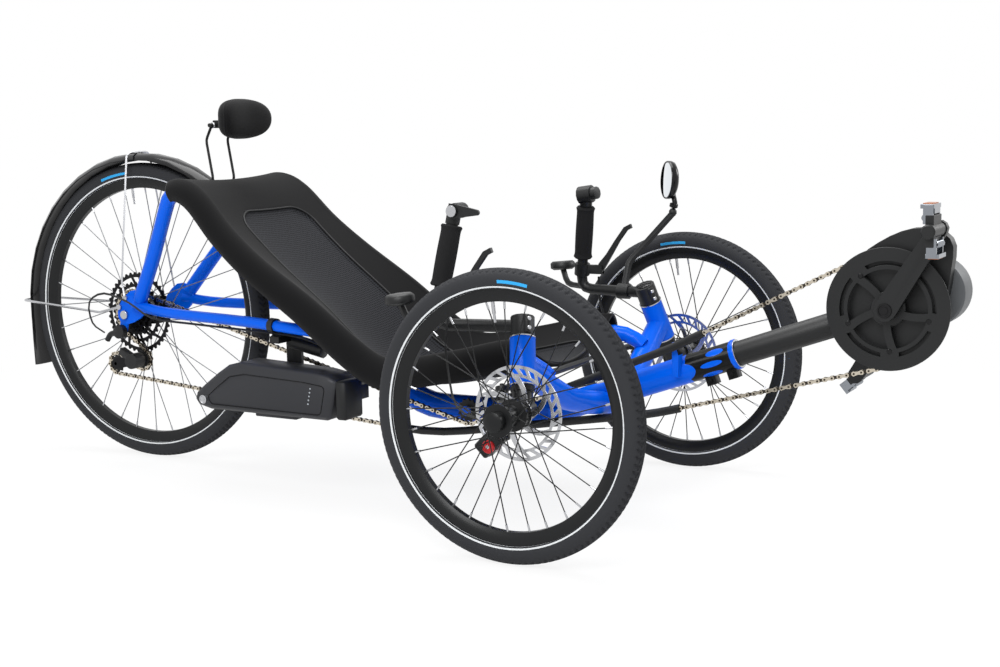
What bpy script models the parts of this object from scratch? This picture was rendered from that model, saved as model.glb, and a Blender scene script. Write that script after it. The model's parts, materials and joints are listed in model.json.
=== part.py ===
"""Recumbent tricycle with two steered front wheels, a driven rear wheel and a mid-drive motor.

Metres, +X to the front, +Y to the left, +Z up. Each sub-part is one closed body on an empty that
stands on its joint axis. The root empty puts the middle of the footprint on the origin.
"""
import math

import bmesh
import bpy
from mathutils import Matrix, Vector

# Clearances
FIT_GAP = 0.0003
RUN_GAP = 0.0006
WELD = 0.000004

# Wheels
TRACK = 0.772
WHEELBASE = 1.093
FRONT_RADIUS = 0.243
REAR_RADIUS = 0.3195
TYRE_WIDTH = 0.040
RIM_WIDTH = 0.026
RIM_DEPTH = 0.022
FRONT_SPOKES = 32
REAR_SPOKES = 32
SPOKE_RADIUS = 0.0010
ROUND_STEPS = 32
BEAD_ANGLE = math.radians(130.0)
FRONT_FLANGE = 0.027
REAR_FLANGE = 0.031
SPINDLE_RADIUS = 0.010
REAR_AXLE_RADIUS = 0.006
ROTOR_RADIUS = 0.080
ROTOR_THICKNESS = 0.002
ROTOR_INSET = 0.038

# Steering
HEAD_INSET = 0.100
HEAD_RISE = 0.0745
HEAD_SETBACK = 0.0235
HEAD_LENGTH = 0.085
HEAD_RADIUS = 0.0218
STEERER_RADIUS = 0.0143
KINGPIN_TILT = math.radians(23.0)
KINGPIN_CASTOR = math.radians(12.0)
STUD_RADIUS = 0.004
TIE_ROD_RADIUS = 0.0065
TIE_ROD_PLAY = 0.0024
BAR_RADIUS = 0.011
BAR_LENGTH = 0.158
POST_HEIGHT = 0.204
GRIP_RADIUS = 0.0168
GRIP_LENGTH = 0.107
MIRROR_RADIUS = 0.038

# Frame
CRANK_X = 0.525
CRANK_Z = 0.404
BOOM_ANGLE = math.radians(19.6)
BOOM_RADIUS = 0.0222
BOOM_INSERT = 0.165
COLLAR_REACH = 0.289
SOCKET_DEPTH = 0.250
MAIN_RADIUS = 0.0255
MAIN_LEVEL = 0.167
ARM_RADIUS = 0.0215
HOOP_RADIUS = 0.015
STAY_RADIUS = 0.0112
BRIDGE_RADIUS = 0.0135
SEAT_HALF = 0.180
DROPOUT_Y = 0.074
DROPOUT_THICKNESS = 0.005

# Drive
CHAIN_LINE = 0.046
CHAIN_PITCH = 0.0127
CHAIN_WIDTH = 0.0056
CHAIN_THICKNESS = 0.0050
RING_TEETH = 46
SPROCKETS = (15, 19, 24, 32, 42)
USED_SPROCKET = 2
SPROCKET_STEP = 0.0060
PULLEY_TEETH = 11
IDLER_TEETH = 13
GUARD_RADIUS = 0.101
CRANK_LENGTH = 0.158
CRANK_TURN = math.radians(58.0)
CHAIN_TUBE_RADIUS = 0.0078
CHAIN_TUBE_BORE = 0.0055

# Seat, fender and battery
SLING_THICKNESS = 0.008
SLING_SAG = 0.066
SLING_SAG_TOP = 0.008
BOLSTER = 0.011
PAD_WIDTH = 0.145
PAD_HEIGHT = 0.080
PAD_DEPTH = 0.055
FENDER_RADIUS = 0.3385
FENDER_WIDTH = 0.054
FENDER_SKIN = 0.002
WIRE_RADIUS = 0.0026
BATTERY_WIDTH = 0.072
BATTERY_INNER = 0.106


def vec(x, y, z):
    """Short form of a point."""
    return Vector((x, y, z))


def around(radius, gap, sides):
    """Corner radius of a polygon whose flats stay the gap away from a round piece."""
    return (radius + gap) / math.cos(math.pi / sides)


# Places that several parts share
REAR_AXLE = vec(-WHEELBASE, 0.0, REAR_RADIUS)
RIGHT_HUB = vec(0.0, -TRACK / 2, FRONT_RADIUS)
HEAD_MID = RIGHT_HUB + vec(-HEAD_SETBACK, HEAD_INSET, HEAD_RISE)
KINGPIN = vec(-math.tan(KINGPIN_CASTOR), math.tan(KINGPIN_TILT), 1.0).normalized()
HEAD_TOP = HEAD_MID + KINGPIN * HEAD_LENGTH / 2
HEAD_LOW = HEAD_MID - KINGPIN * HEAD_LENGTH / 2
STUD = HEAD_MID + vec(-0.047, 0.012, -0.0525)
CRANK = vec(CRANK_X, 0.0, CRANK_Z)
BOOM = vec(math.cos(BOOM_ANGLE), 0.0, math.sin(BOOM_ANGLE))
COLLAR = CRANK - BOOM * COLLAR_REACH
MAIN_BEND = CRANK - BOOM * (CRANK_Z - MAIN_LEVEL) / math.sin(BOOM_ANGLE)
BRIDGE_MID = MAIN_BEND + vec(-0.312, 0.0, 0.048)
CAN_MID = CRANK + vec(0.056, 0.0, 0.024)
DROPOUT_OUT = DROPOUT_Y + DROPOUT_THICKNESS / 2
CLAMP_MID = HEAD_TOP + KINGPIN * 0.0195
BAR_CORNER = CLAMP_MID + vec(-BAR_LENGTH, -0.028, -0.001)
POST_TOP = BAR_CORNER + vec(0.030, 0.032, POST_HEIGHT)
POST = (POST_TOP - BAR_CORNER).normalized()
GRIP_LOW = BAR_CORNER + POST * 0.066
LEVER_PIVOT = BAR_CORNER + vec(0.046, 0.004, 0.045)
SHIFTER_PIVOT = POST_TOP + vec(0.006, 0.0, -0.010)
MIRROR_BALL = vec(-0.008, TRACK / 2 - 0.056, FRONT_RADIUS + 0.286)
HEADREST_PIVOT = vec(-0.872, 0.0, 0.716)
IDLER = vec(-0.270, -CHAIN_LINE, MAIN_LEVEL + 0.006)
GUIDE = REAR_AXLE + vec(0.015, -CHAIN_LINE, -0.099)
TENSION = GUIDE + vec(-0.070, 0.0, -0.013)


# Scene and shape helpers
def clear_scene():
    """Remove every object, collection and material that is already there."""
    for thing in list(bpy.data.objects):
        bpy.data.objects.remove(thing)
    for group in list(bpy.data.collections):
        bpy.data.collections.remove(group)
    for paint in list(bpy.data.materials):
        bpy.data.materials.remove(paint)


def collection(name):
    """New collection in the scene."""
    group = bpy.data.collections.new(name)
    bpy.context.scene.collection.children.link(group)
    return group


clear_scene()
PARTS = collection("recumbent_tricycle")
CUTTERS = collection("cutters")


def paint(name, colour, roughness, metallic):
    """Principled material of one colour."""
    made = bpy.data.materials.new(name)
    made.use_nodes = True
    shader = made.node_tree.nodes["Principled BSDF"]
    shader.inputs["Base Color"].default_value = (*colour, 1.0)
    shader.inputs["Roughness"].default_value = roughness
    shader.inputs["Metallic"].default_value = metallic
    made.diffuse_color = (*colour, 1.0)
    return made


BLUE = paint("blue_paint", (0.005, 0.12, 0.78), 0.25, 0.0)
BLACK = paint("black_coat", (0.015, 0.015, 0.017), 0.4, 0.0)
RUBBER = paint("rubber", (0.03, 0.03, 0.032), 0.8, 0.0)
STEEL = paint("steel", (0.6, 0.6, 0.62), 0.3, 1.0)
DARK = paint("dark_metal", (0.05, 0.05, 0.055), 0.4, 1.0)
FABRIC = paint("fabric", (0.02, 0.02, 0.022), 0.9, 0.0)
FOAM = paint("foam", (0.018, 0.018, 0.018), 0.9, 0.0)
GREY = paint("grey_case", (0.12, 0.12, 0.125), 0.4, 0.3)
PLASTIC = paint("plastic", (0.02, 0.02, 0.02), 0.5, 0.0)


def add(name, mesh):
    """Mesh object among the working shapes."""
    made = bpy.data.objects.new(name, mesh)
    CUTTERS.objects.link(made)
    return made


def from_shape(name, shape):
    """Object from a bmesh, with its faces outward."""
    bmesh.ops.recalc_face_normals(shape, faces=shape.faces)
    mesh = bpy.data.meshes.new(name)
    shape.to_mesh(mesh)
    shape.free()
    return add(name, mesh)


def bake(source):
    """Plain welded mesh of an object's evaluated shape, in place of the object."""
    bpy.context.view_layer.update()
    graph = bpy.context.evaluated_depsgraph_get()
    mesh = bpy.data.meshes.new_from_object(source.evaluated_get(graph))
    mesh.transform(source.matrix_world)
    mesh.materials.clear()
    name = source.name
    bpy.data.objects.remove(source)
    shape = bmesh.new()
    shape.from_mesh(mesh)
    bmesh.ops.remove_doubles(shape, verts=shape.verts, dist=WELD)
    bmesh.ops.dissolve_degenerate(shape, edges=shape.edges, dist=WELD)
    return from_shape(name, shape)


def merged_flats(source):
    """The same shape with faces that lie in one plane merged, where it stays closed."""
    shape = bmesh.new()
    shape.from_mesh(source.data)
    bmesh.ops.dissolve_limit(
        shape, angle_limit=math.radians(0.1), verts=shape.verts, edges=shape.edges)
    if all(edge.is_manifold for edge in shape.edges):
        shape.to_mesh(source.data)
    shape.free()
    return source


def boolean(target, others, operation):
    """Exact union or difference of a shape with the others, which are used up."""
    for other in others:
        step = target.modifiers.new(operation, "BOOLEAN")
        step.operation = operation
        step.solver = "EXACT"
        step.object = other
    done = bake(target)
    for other in others:
        bpy.data.objects.remove(other)
    return merged_flats(done)


def join(target, *others):
    """One body from several that overlap."""
    return boolean(target, others, "UNION")


def cut(target, *others):
    """The first shape without the others."""
    return boolean(target, others, "DIFFERENCE")


def fattened(source, gap=FIT_GAP):
    """Copy of a shape that is larger by the gap on every side."""
    shape = bmesh.new()
    shape.from_mesh(source.data)
    shape.normal_update()
    moved = [v.co + v.normal * gap * min(v.calc_shell_factor(), 2.5) for v in shape.verts]
    for vertex, place in zip(shape.verts, moved):
        vertex.co = place
    return from_shape("clearance", shape)


def clear_of(target, *neighbours):
    """The first shape, cut back by the gap from its neighbours, which stay."""
    return cut(target, *[fattened(n) for n in neighbours])


def facing(direction):
    """Rotation that turns +Z to a direction."""
    return direction.to_track_quat("Z", "Y").to_matrix().to_4x4()


def rod(name, start, end, radius, sides=12, end_radius=None):
    """Straight round bar or cone between two points."""
    shape = bmesh.new()
    length = (end - start).length
    place = Matrix.Translation((start + end) / 2) @ facing(end - start)
    bmesh.ops.create_cone(
        shape, cap_ends=True, segments=sides, radius1=radius,
        radius2=radius if end_radius is None else end_radius, depth=length, matrix=place)
    return from_shape(name, shape)


def ball(name, centre, radius, sides=12):
    """Sphere."""
    shape = bmesh.new()
    bmesh.ops.create_uvsphere(
        shape, u_segments=sides, v_segments=sides // 2 + 1, radius=radius,
        matrix=Matrix.Translation(centre))
    return from_shape(name, shape)


def block(name, centre, size, turn=None, bevel=0.0):
    """Box with a centre and three sizes, turned when asked and with bevelled edges when asked."""
    shape = bmesh.new()
    place = Matrix.Translation(centre) @ (turn or Matrix())
    bmesh.ops.create_cube(shape, size=1.0, matrix=place @ Matrix.Diagonal((*size, 1.0)))
    if bevel:
        bmesh.ops.bevel(
            shape, geom=shape.edges[:], offset=bevel, segments=1, affect="EDGES", profile=0.5)
    return from_shape(name, shape)


def bent(points, radius, steps=4):
    """Path through corner points with each corner rounded."""
    path = [points[0]]
    for before, corner, after in zip(points, points[1:], points[2:]):
        back = before - corner
        ahead = after - corner
        turn = math.pi - back.angle(ahead)
        reach = min(radius * math.tan(turn / 2), 0.48 * back.length, 0.48 * ahead.length)
        start = corner + back.normalized() * reach
        end = corner + ahead.normalized() * reach
        for k in range(steps + 1):
            t = k / steps
            path.append(start * (1 - t) ** 2 + corner * 2 * t * (1 - t) + end * t * t)
    path.append(points[-1])
    return path


def eased(points, per_span=4):
    """Smooth path through points, as a cardinal spline."""
    ends = [points[0] * 2 - points[1], *points, points[-1] * 2 - points[-2]]
    path = []
    for a, b, c, d in zip(ends, ends[1:], ends[2:], ends[3:]):
        for k in range(per_span):
            t = k / per_span
            path.append(
                b + (c - a) * t / 2 + (a * 2 - b * 5 + c * 4 - d) * t ** 2 / 2
                + (b * 3 - a - c * 3 + d) * t ** 3 / 2)
    path.append(points[-1])
    return path


def tube(name, path, radius, sides=12):
    """Round bar along a path, closed at both ends."""
    curve = bpy.data.curves.new(name, "CURVE")
    curve.dimensions = "3D"
    curve.bevel_depth = radius
    curve.bevel_resolution = (sides - 4) // 2
    curve.use_fill_caps = True
    line = curve.splines.new("POLY")
    line.points.add(len(path) - 1)
    for point, place in zip(line.points, path):
        point.co = (*place, 1.0)
    return bake(add(name, curve))


def hollow_tube(name, path, outer, inner, sides=8):
    """Pipe along a path that lies in an XZ plane."""
    shape = bmesh.new()
    rings = []
    for k, place in enumerate(path):
        along = (path[min(k + 1, len(path) - 1)] - path[max(k - 1, 0)]).normalized()
        side = vec(0.0, 1.0, 0.0)
        up = along.cross(side)
        ring = []
        for radius in (outer, inner):
            turns = [2 * math.pi * (n + 0.5) / sides for n in range(sides)]
            ring.append([
                shape.verts.new(place + (side * math.cos(a) + up * math.sin(a)) * radius)
                for a in turns])
        rings.append(ring)
    for n in range(sides):
        m = (n + 1) % sides
        for here, there in zip(rings, rings[1:]):
            for layer in (0, 1):
                shape.faces.new(
                    (here[layer][n], here[layer][m], there[layer][m], there[layer][n]))
        for end in (rings[0], rings[-1]):
            shape.faces.new((end[0][n], end[0][m], end[1][m], end[1][n]))
    return from_shape(name, shape)


def turned(name, profile, origin, axis, steps=32, ring=False):
    """Turned piece from (radius, along) points; a ring profile closes on itself."""
    mesh = bpy.data.meshes.new(name)
    edges = [(k, k + 1) for k in range(len(profile) - 1)]
    if ring:
        edges.append((len(profile) - 1, 0))
    mesh.from_pydata([(r, 0.0, s) for r, s in profile], edges, [])
    made = add(name, mesh)
    half_step = Matrix.Rotation(math.pi / steps, 4, "Z")
    made.matrix_world = Matrix.Translation(origin) @ facing(axis) @ half_step
    step = made.modifiers.new("Screw", "SCREW")
    step.axis = "Z"
    step.angle = 2 * math.pi
    step.steps = steps
    step.render_steps = steps
    step.use_merge_vertices = True
    step.merge_threshold = WELD
    return bake(made)


def plate(name, outline, thickness, place, holes=(), bevel=0.0):
    """Flat piece from an outline in the local XY plane, with holes, thick on both sides of it."""
    curve = bpy.data.curves.new(name, "CURVE")
    curve.dimensions = "2D"
    curve.fill_mode = "BOTH"
    curve.extrude = thickness / 2 - bevel
    curve.bevel_depth = bevel
    curve.bevel_resolution = 0
    curve.offset = -bevel
    for loop in (outline, *holes):
        line = curve.splines.new("POLY")
        line.points.add(len(loop) - 1)
        for point, (x, y) in zip(line.points, loop):
            point.co = (x, y, 0.0, 1.0)
        line.use_cyclic_u = True
    made = add(name, curve)
    made.matrix_world = place
    return bake(made)


def upright(y):
    """Place of a plate whose local X and Y are the world X and Z, in the plane at y."""
    return Matrix.Translation((0.0, y, 0.0)) @ Matrix.Rotation(math.pi / 2, 4, "X")


def circle(centre, radius, sides, phase=0.0):
    """Points of a round outline."""
    turns = [phase + 2 * math.pi * k / sides for k in range(sides)]
    return [(centre[0] + radius * math.cos(a), centre[1] + radius * math.sin(a)) for a in turns]


def loop_through(points, per_span=3):
    """Smooth closed outline through points."""
    count = len(points)
    path = []
    for k in range(count):
        a, b, c, d = [Vector(points[(k + n) % count]) for n in (-1, 0, 1, 2)]
        for j in range(per_span):
            t = j / per_span
            path.append(tuple(
                b + (c - a) * t / 2 + (a * 2 - b * 5 + c * 4 - d) * t ** 2 / 2
                + (b * 3 - a - c * 3 + d) * t ** 3 / 2))
    return path


def capsule(a, b, radius_a, radius_b, steps=5):
    """Outline round two circles in a plane."""
    a = Vector(a)
    b = Vector(b)
    heading = math.atan2(b.y - a.y, b.x - a.x)
    lean = math.asin((radius_a - radius_b) / (b - a).length)
    points = []
    for centre, radius, start, stop in (
            (b, radius_b, heading - math.pi / 2 + lean, heading + math.pi / 2 - lean),
            (a, radius_a, heading + math.pi / 2 - lean, heading + 1.5 * math.pi + lean)):
        for k in range(steps + 1):
            angle = start + (stop - start) * k / steps
            points.append((centre.x + radius * math.cos(angle), centre.y + radius * math.sin(angle)))
    return points


def shell(name, rows, thickness, offset):
    """Sheet through rows of points, made solid to one side or both."""
    mesh = bpy.data.meshes.new(name)
    wide = len(rows[0])
    faces = []
    for r in range(len(rows) - 1):
        for c in range(wide - 1):
            faces.append((r * wide + c, r * wide + c + 1, (r + 1) * wide + c + 1, (r + 1) * wide + c))
    mesh.from_pydata([tuple(p) for row in rows for p in row], [], faces)
    made = add(name, mesh)
    step = made.modifiers.new("Solidify", "SOLIDIFY")
    step.thickness = thickness
    step.offset = offset
    step.use_even_offset = True
    return bake(made)


def mirrored(source, name):
    """Copy on the other side of the middle plane."""
    mesh = source.data.copy()
    mesh.transform(Matrix.Scale(-1.0, 4, (0.0, 1.0, 0.0)))
    mesh.flip_normals()
    return add(name, mesh)


def flip(point):
    """Point on the other side of the middle plane."""
    return vec(point.x, -point.y, point.z)


ROOT = bpy.data.objects.new("tricycle_root", None)
PARTS.objects.link(ROOT)


def pivot(name, place):
    """Empty on a joint axis."""
    made = bpy.data.objects.new(name, None)
    made.empty_display_size = 0.03
    made.location = place
    made.parent = ROOT
    PARTS.objects.link(made)
    return made


FRAME_PIVOT = pivot("frame_pivot", vec(0.0, 0.0, 0.0))


def finish(shape, name, coat, carrier=FRAME_PIVOT, smooth=True):
    """Give a finished body its name, its material and its place on a joint axis."""
    shape.name = name
    shape.data.name = name
    shape.data.materials.append(coat)
    shape.data.transform(Matrix.Translation(-carrier.location))
    shape.parent = carrier
    if smooth:
        shape.data.shade_smooth()
        shape.data.set_sharp_from_angle(angle=math.radians(35.0))
    CUTTERS.objects.unlink(shape)
    PARTS.objects.link(shape)
    return shape


def pitch_radius(teeth):
    """Radius of the chain's middle line on a sprocket."""
    return CHAIN_PITCH / (2 * math.sin(math.pi / teeth))


def tip_radius(teeth):
    """Radius of the tooth tips, which stay inside the chain."""
    return pitch_radius(teeth) - CHAIN_THICKNESS / 2 - 0.0007


def gear_outline(centre, teeth, depth=0.0035, points=2):
    """Toothed outline: root and tip points in turn."""
    tip = tip_radius(teeth)
    marks = ((-0.25, tip - depth), (0.25, tip)) if points == 2 else (
        (-0.40, tip - depth), (-0.12, tip), (0.12, tip), (0.40, tip - depth))
    outline = []
    for k in range(teeth):
        for part, radius in marks:
            angle = 2 * math.pi * (k + part) / teeth
            outline.append((centre.x + radius * math.cos(angle), centre.z + radius * math.sin(angle)))
    return outline


# Wheels
def tyre(name, centre, radius, carrier):
    """Tyre whose round section rests on the rim."""
    half = TYRE_WIDTH / 2
    outer = around(radius, 0.0, ROUND_STEPS)
    side = (outer - half, half)
    bead = (bead_radius(radius), half * math.sin(BEAD_ANGLE))
    tread = (outer, half * 0.44)
    profile = [(r, -s) for r, s in (bead, side, tread)] + [tread, side, bead]
    body = turned(name, profile, centre, vec(0.0, 1.0, 0.0), ROUND_STEPS, ring=True)
    return finish(body, name, RUBBER, carrier)


def bead_radius(radius):
    """Radius of the tyre's inner edge."""
    return around(radius, 0.0, ROUND_STEPS) + TYRE_WIDTH / 2 * (math.cos(BEAD_ANGLE) - 1)


def wheel_body(name, centre, radius, hub, flanges, flange_radius, spokes):
    """Rim, hub and laced spokes in one body; hub points are (radius, along +Y)."""
    outer = bead_radius(radius) - FIT_GAP
    inner = outer - RIM_DEPTH
    half = RIM_WIDTH / 2
    across = vec(0.0, 1.0, 0.0)
    profile = [
        (outer, -half), (outer, half), (inner, half - 0.006), (inner, 0.006 - half)]
    rim = turned(name, profile, centre, across, ROUND_STEPS, ring=True)
    core = turned("hub", hub, centre, across, 8, ring=hub[0][0] > 0.001)
    laced = bmesh.new()
    for k in range(spokes):
        side = flanges[k % 2]
        lead = 1 if (k // 2) % 2 else -1
        at_rim = 2 * math.pi * k / spokes
        at_hub = at_rim + lead * math.radians(62.0)
        root = flange_radius - 0.0035
        start = centre + vec(root * math.cos(at_hub), side + lead * 0.0017, root * math.sin(at_hub))
        reach = inner + 0.002
        shift = math.copysign(0.003, side)
        end = centre + vec(reach * math.cos(at_rim), shift, reach * math.sin(at_rim))
        place = Matrix.Translation((start + end) / 2) @ facing(end - start)
        bmesh.ops.create_cone(
            laced, cap_ends=True, segments=3, radius1=SPOKE_RADIUS, radius2=SPOKE_RADIUS,
            depth=(end - start).length, matrix=place)
    wires = from_shape("spokes", laced)
    for other in (core, wires):
        step = rim.modifiers.new("Union", "BOOLEAN")
        step.operation = "UNION"
        step.solver = "EXACT"
        step.use_self = True
        step.object = other
    body = merged_flats(bake(rim))
    bpy.data.objects.remove(core)
    bpy.data.objects.remove(wires)
    return body


def front_wheel(side, word):
    """Front tyre, wheel and rotor on one side (+1 left, -1 right)."""
    centre = vec(0.0, side * TRACK / 2, FRONT_RADIUS)
    carrier = pivot(word + "_wheel_pivot", centre)
    tyre("front_tyre_" + word, centre, FRONT_RADIUS, carrier)
    bore = around(SPINDLE_RADIUS, RUN_GAP, 8)
    spigot = 0.0172
    hub = [
        (0.0, 0.052), (0.0165, 0.049), (0.0165, 0.033),
        (FRONT_FLANGE, 0.032), (FRONT_FLANGE, 0.027), (0.0155, 0.025), (0.0155, -0.015),
        (FRONT_FLANGE, -0.017), (FRONT_FLANGE, -0.022),
        (0.020, FIT_GAP - ROTOR_INSET + ROTOR_THICKNESS / 2),
        (spigot, FIT_GAP - ROTOR_INSET + ROTOR_THICKNESS / 2),
        (spigot, -0.0415), (bore, -0.0415), (bore, 0.0455), (0.0, 0.0455)]
    hub = [(r, side * s) for r, s in hub]
    flanges = (side * 0.0295, side * -0.0195)
    body = wheel_body(
        "front_wheel_" + word, centre, FRONT_RADIUS, hub, flanges, FRONT_FLANGE, FRONT_SPOKES)
    finish(body, "front_wheel_" + word, BLACK, carrier)
    middle = (centre.x, centre.z)
    holes = [circle(middle, spigot + 0.0014, 10)]
    arms = 6
    for k in range(arms):
        turn = 2 * math.pi * k / arms
        window = [(0.030, 0.16), (0.030, 0.80), (0.061, 0.92), (0.061, 0.22)]
        holes.append([
            (middle[0] + r * math.cos(turn + a), middle[1] + r * math.sin(turn + a))
            for r, a in window])
    edge = [
        (middle[0] + (ROTOR_RADIUS - 0.0018 * (k % 2)) * math.cos(math.pi * k / 15),
         middle[1] + (ROTOR_RADIUS - 0.0018 * (k % 2)) * math.sin(math.pi * k / 15))
        for k in range(30)]
    disc = plate(
        "rotor", edge, ROTOR_THICKNESS, upright(centre.y - side * ROTOR_INSET), holes)
    finish(disc, "rotor_" + word, STEEL, carrier, smooth=False)


def rear_wheel():
    """Rear tyre, wheel with freehub, cassette and axle."""
    carrier = pivot("rear_wheel_pivot", REAR_AXLE)
    tyre("rear_tyre", REAR_AXLE, REAR_RADIUS, carrier)
    bore = around(REAR_AXLE_RADIUS, RUN_GAP, 8)
    end = DROPOUT_Y - DROPOUT_THICKNESS / 2 - RUN_GAP
    free = 0.0172
    hub = [
        (0.012, end), (0.0165, 0.031), (REAR_FLANGE, 0.029), (REAR_FLANGE, 0.024),
        (0.018, 0.021), (0.018, -0.018), (REAR_FLANGE, -0.021), (REAR_FLANGE, -0.026),
        (free, -0.0285), (free, -0.0685), (0.011, -end), (bore, -end), (bore, end)]
    body = wheel_body(
        "rear_wheel", REAR_AXLE, REAR_RADIUS, hub, (0.0265, -0.0235), REAR_FLANGE, REAR_SPOKES)
    finish(body, "rear_wheel", BLACK, carrier)
    half = DROPOUT_OUT + 0.004
    axle = rod(
        "rear_axle", REAR_AXLE + vec(0.0, half, 0.0), REAR_AXLE - vec(0.0, half, 0.0), REAR_AXLE_RADIUS)
    caps = []
    for sign in (1, -1):
        start = REAR_AXLE + vec(0.0, sign * (DROPOUT_OUT + FIT_GAP), 0.0)
        caps.append(rod("cap", start, start + vec(0.0, sign * 0.006, 0.0), 0.0095))
    finish(join(axle, *caps), "rear_axle", STEEL)
    middle = (REAR_AXLE.x, REAR_AXLE.z)
    rings = []
    for k, teeth in enumerate(SPROCKETS):
        y = -CHAIN_LINE + (k - USED_SPROCKET) * SPROCKET_STEP
        windows = []
        if k > USED_SPROCKET:
            for j in range(5):
                turn = 2 * math.pi * (j + 0.13) / 5
                spot = (middle[0] + 0.0440 * math.cos(turn), middle[1] + 0.0440 * math.sin(turn))
                windows.append(circle(spot, 0.0125, 6, turn))
        rings.append(plate("sprocket", gear_outline(REAR_AXLE, teeth), 0.0016, upright(y), windows))
    first = -CHAIN_LINE - USED_SPROCKET * SPROCKET_STEP - 0.0015
    last = -CHAIN_LINE + (len(SPROCKETS) - 1 - USED_SPROCKET) * SPROCKET_STEP + 0.0006
    ends = [REAR_AXLE + vec(0.0, y, 0.0) for y in (first, last)]
    core = join(rod("core", ends[0], ends[1], 0.0196), *rings)
    beyond = vec(0.0, 0.01, 0.0)
    hole = rod("hole", ends[0] - beyond, ends[1] + beyond, free + FIT_GAP + 0.0006)
    finish(cut(core, hole), "cassette", DARK, carrier, smooth=False)


# Chain
def chain_circles():
    """Circles that guide the chain in travel order: middle, radius, sense (+1 anticlockwise)."""
    upper = 0.30
    lower = 0.60
    return [
        (REAR_AXLE, pitch_radius(SPROCKETS[USED_SPROCKET]), -1),
        (IDLER, pitch_radius(IDLER_TEETH), 1),
        (COLLAR + vec(-0.2296, 0.0, upper - 0.0156), upper, 1),
        (CRANK, pitch_radius(RING_TEETH), -1),
        (vec(-0.019, 0.0, MAIN_LEVEL + 0.0165 + lower), lower, -1),
        (vec(-0.375, 0.0, MAIN_LEVEL - 0.0425 + lower), lower, -1),
        (TENSION, pitch_radius(PULLEY_TEETH), -1),
        (GUIDE, pitch_radius(PULLEY_TEETH), 1)]


def chain_spans():
    """For each circle the arc of path points on it, in the chain's plane."""
    rounds = chain_circles()
    count = len(rounds)
    leaving = [None] * count
    arriving = [None] * count
    for k in range(count):
        middle, radius, sense = rounds[k]
        target, target_radius, target_sense = rounds[(k + 1) % count]
        along = Vector((target.x - middle.x, target.z - middle.z))
        offset = (target_sense * target_radius - sense * radius) / along.length
        unit = along.normalized()
        heading = unit * math.sqrt(1 - offset ** 2) - Vector((-unit.y, unit.x)) * offset
        normal = Vector((-heading.y, heading.x))
        leaving[k] = Vector((middle.x, middle.z)) - normal * sense * radius
        arriving[(k + 1) % count] = Vector((target.x, target.z)) - normal * target_sense * target_radius
    spans = []
    for k in range(count):
        middle, radius, sense = rounds[k]
        start = math.atan2(arriving[k].y - middle.z, arriving[k].x - middle.x)
        stop = math.atan2(leaving[k].y - middle.z, leaving[k].x - middle.x)
        turn = (stop - start) * sense % (2 * math.pi)
        step = 2 * math.acos(1 - 0.0005 / (radius - CHAIN_THICKNESS / 2))
        steps = max(3, math.ceil(turn / step))
        if radius > 0.29:
            steps = 3
        arc = []
        for j in range(steps + 1):
            angle = start + sense * turn * j / steps
            arc.append(vec(
                middle.x + radius * math.cos(angle), -CHAIN_LINE, middle.z + radius * math.sin(angle)))
        spans.append(arc)
    return spans


def chain():
    """Chain as one closed band, and the two tubes that guide it."""
    spans = chain_spans()
    path = [p for arc in spans for p in arc]
    count = len(path)
    shape = bmesh.new()
    rings = []
    for k in range(count):
        along = (path[(k + 1) % count] - path[k - 1]).normalized()
        up = vec(-along.z, 0.0, along.x) * CHAIN_THICKNESS / 2
        side = vec(0.0, CHAIN_WIDTH / 2, 0.0)
        rings.append([
            shape.verts.new(path[k] + up * u + side * s)
            for u, s in ((1, 1), (1, -1), (-1, -1), (-1, 1))])
    for k in range(count):
        here = rings[k]
        there = rings[(k + 1) % count]
        for n in range(4):
            m = (n + 1) % 4
            shape.faces.new((here[n], here[m], there[m], there[n]))
    finish(from_shape("chain", shape), "chain", STEEL, smooth=False)
    upper = spans[2]
    front = spans[4]
    rear = spans[5]
    over = [upper[0].lerp(spans[1][-1], 0.55), *upper, upper[-1].lerp(spans[3][0], 0.14)]
    under = [front[0].lerp(spans[3][-1], 0.06), *front, *rear, rear[-1].lerp(spans[6][0], 0.04)]
    for name, line in (("chain_tube_upper", over), ("chain_tube_lower", under)):
        pipe = hollow_tube(name, line, CHAIN_TUBE_RADIUS, CHAIN_TUBE_BORE)
        finish(pipe, name, PLASTIC)


# Frame
def main_path():
    """Middle line of the main beam, from the collar to the rear bridge."""
    rear = BRIDGE_MID + vec(-0.004, 0.0, -0.008)
    return bent([COLLAR, MAIN_BEND, MAIN_BEND + vec(-0.250, 0.0, -0.001), rear], 0.20, 3)


def beam_height(x):
    """Height of the main beam's middle line at a place along the tricycle."""
    path = main_path()
    for ahead, behind in zip(path, path[1:]):
        if behind.x <= x <= ahead.x:
            return ahead.z + (behind.z - ahead.z) * (x - ahead.x) / (behind.x - ahead.x)
    return path[-1].z


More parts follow.
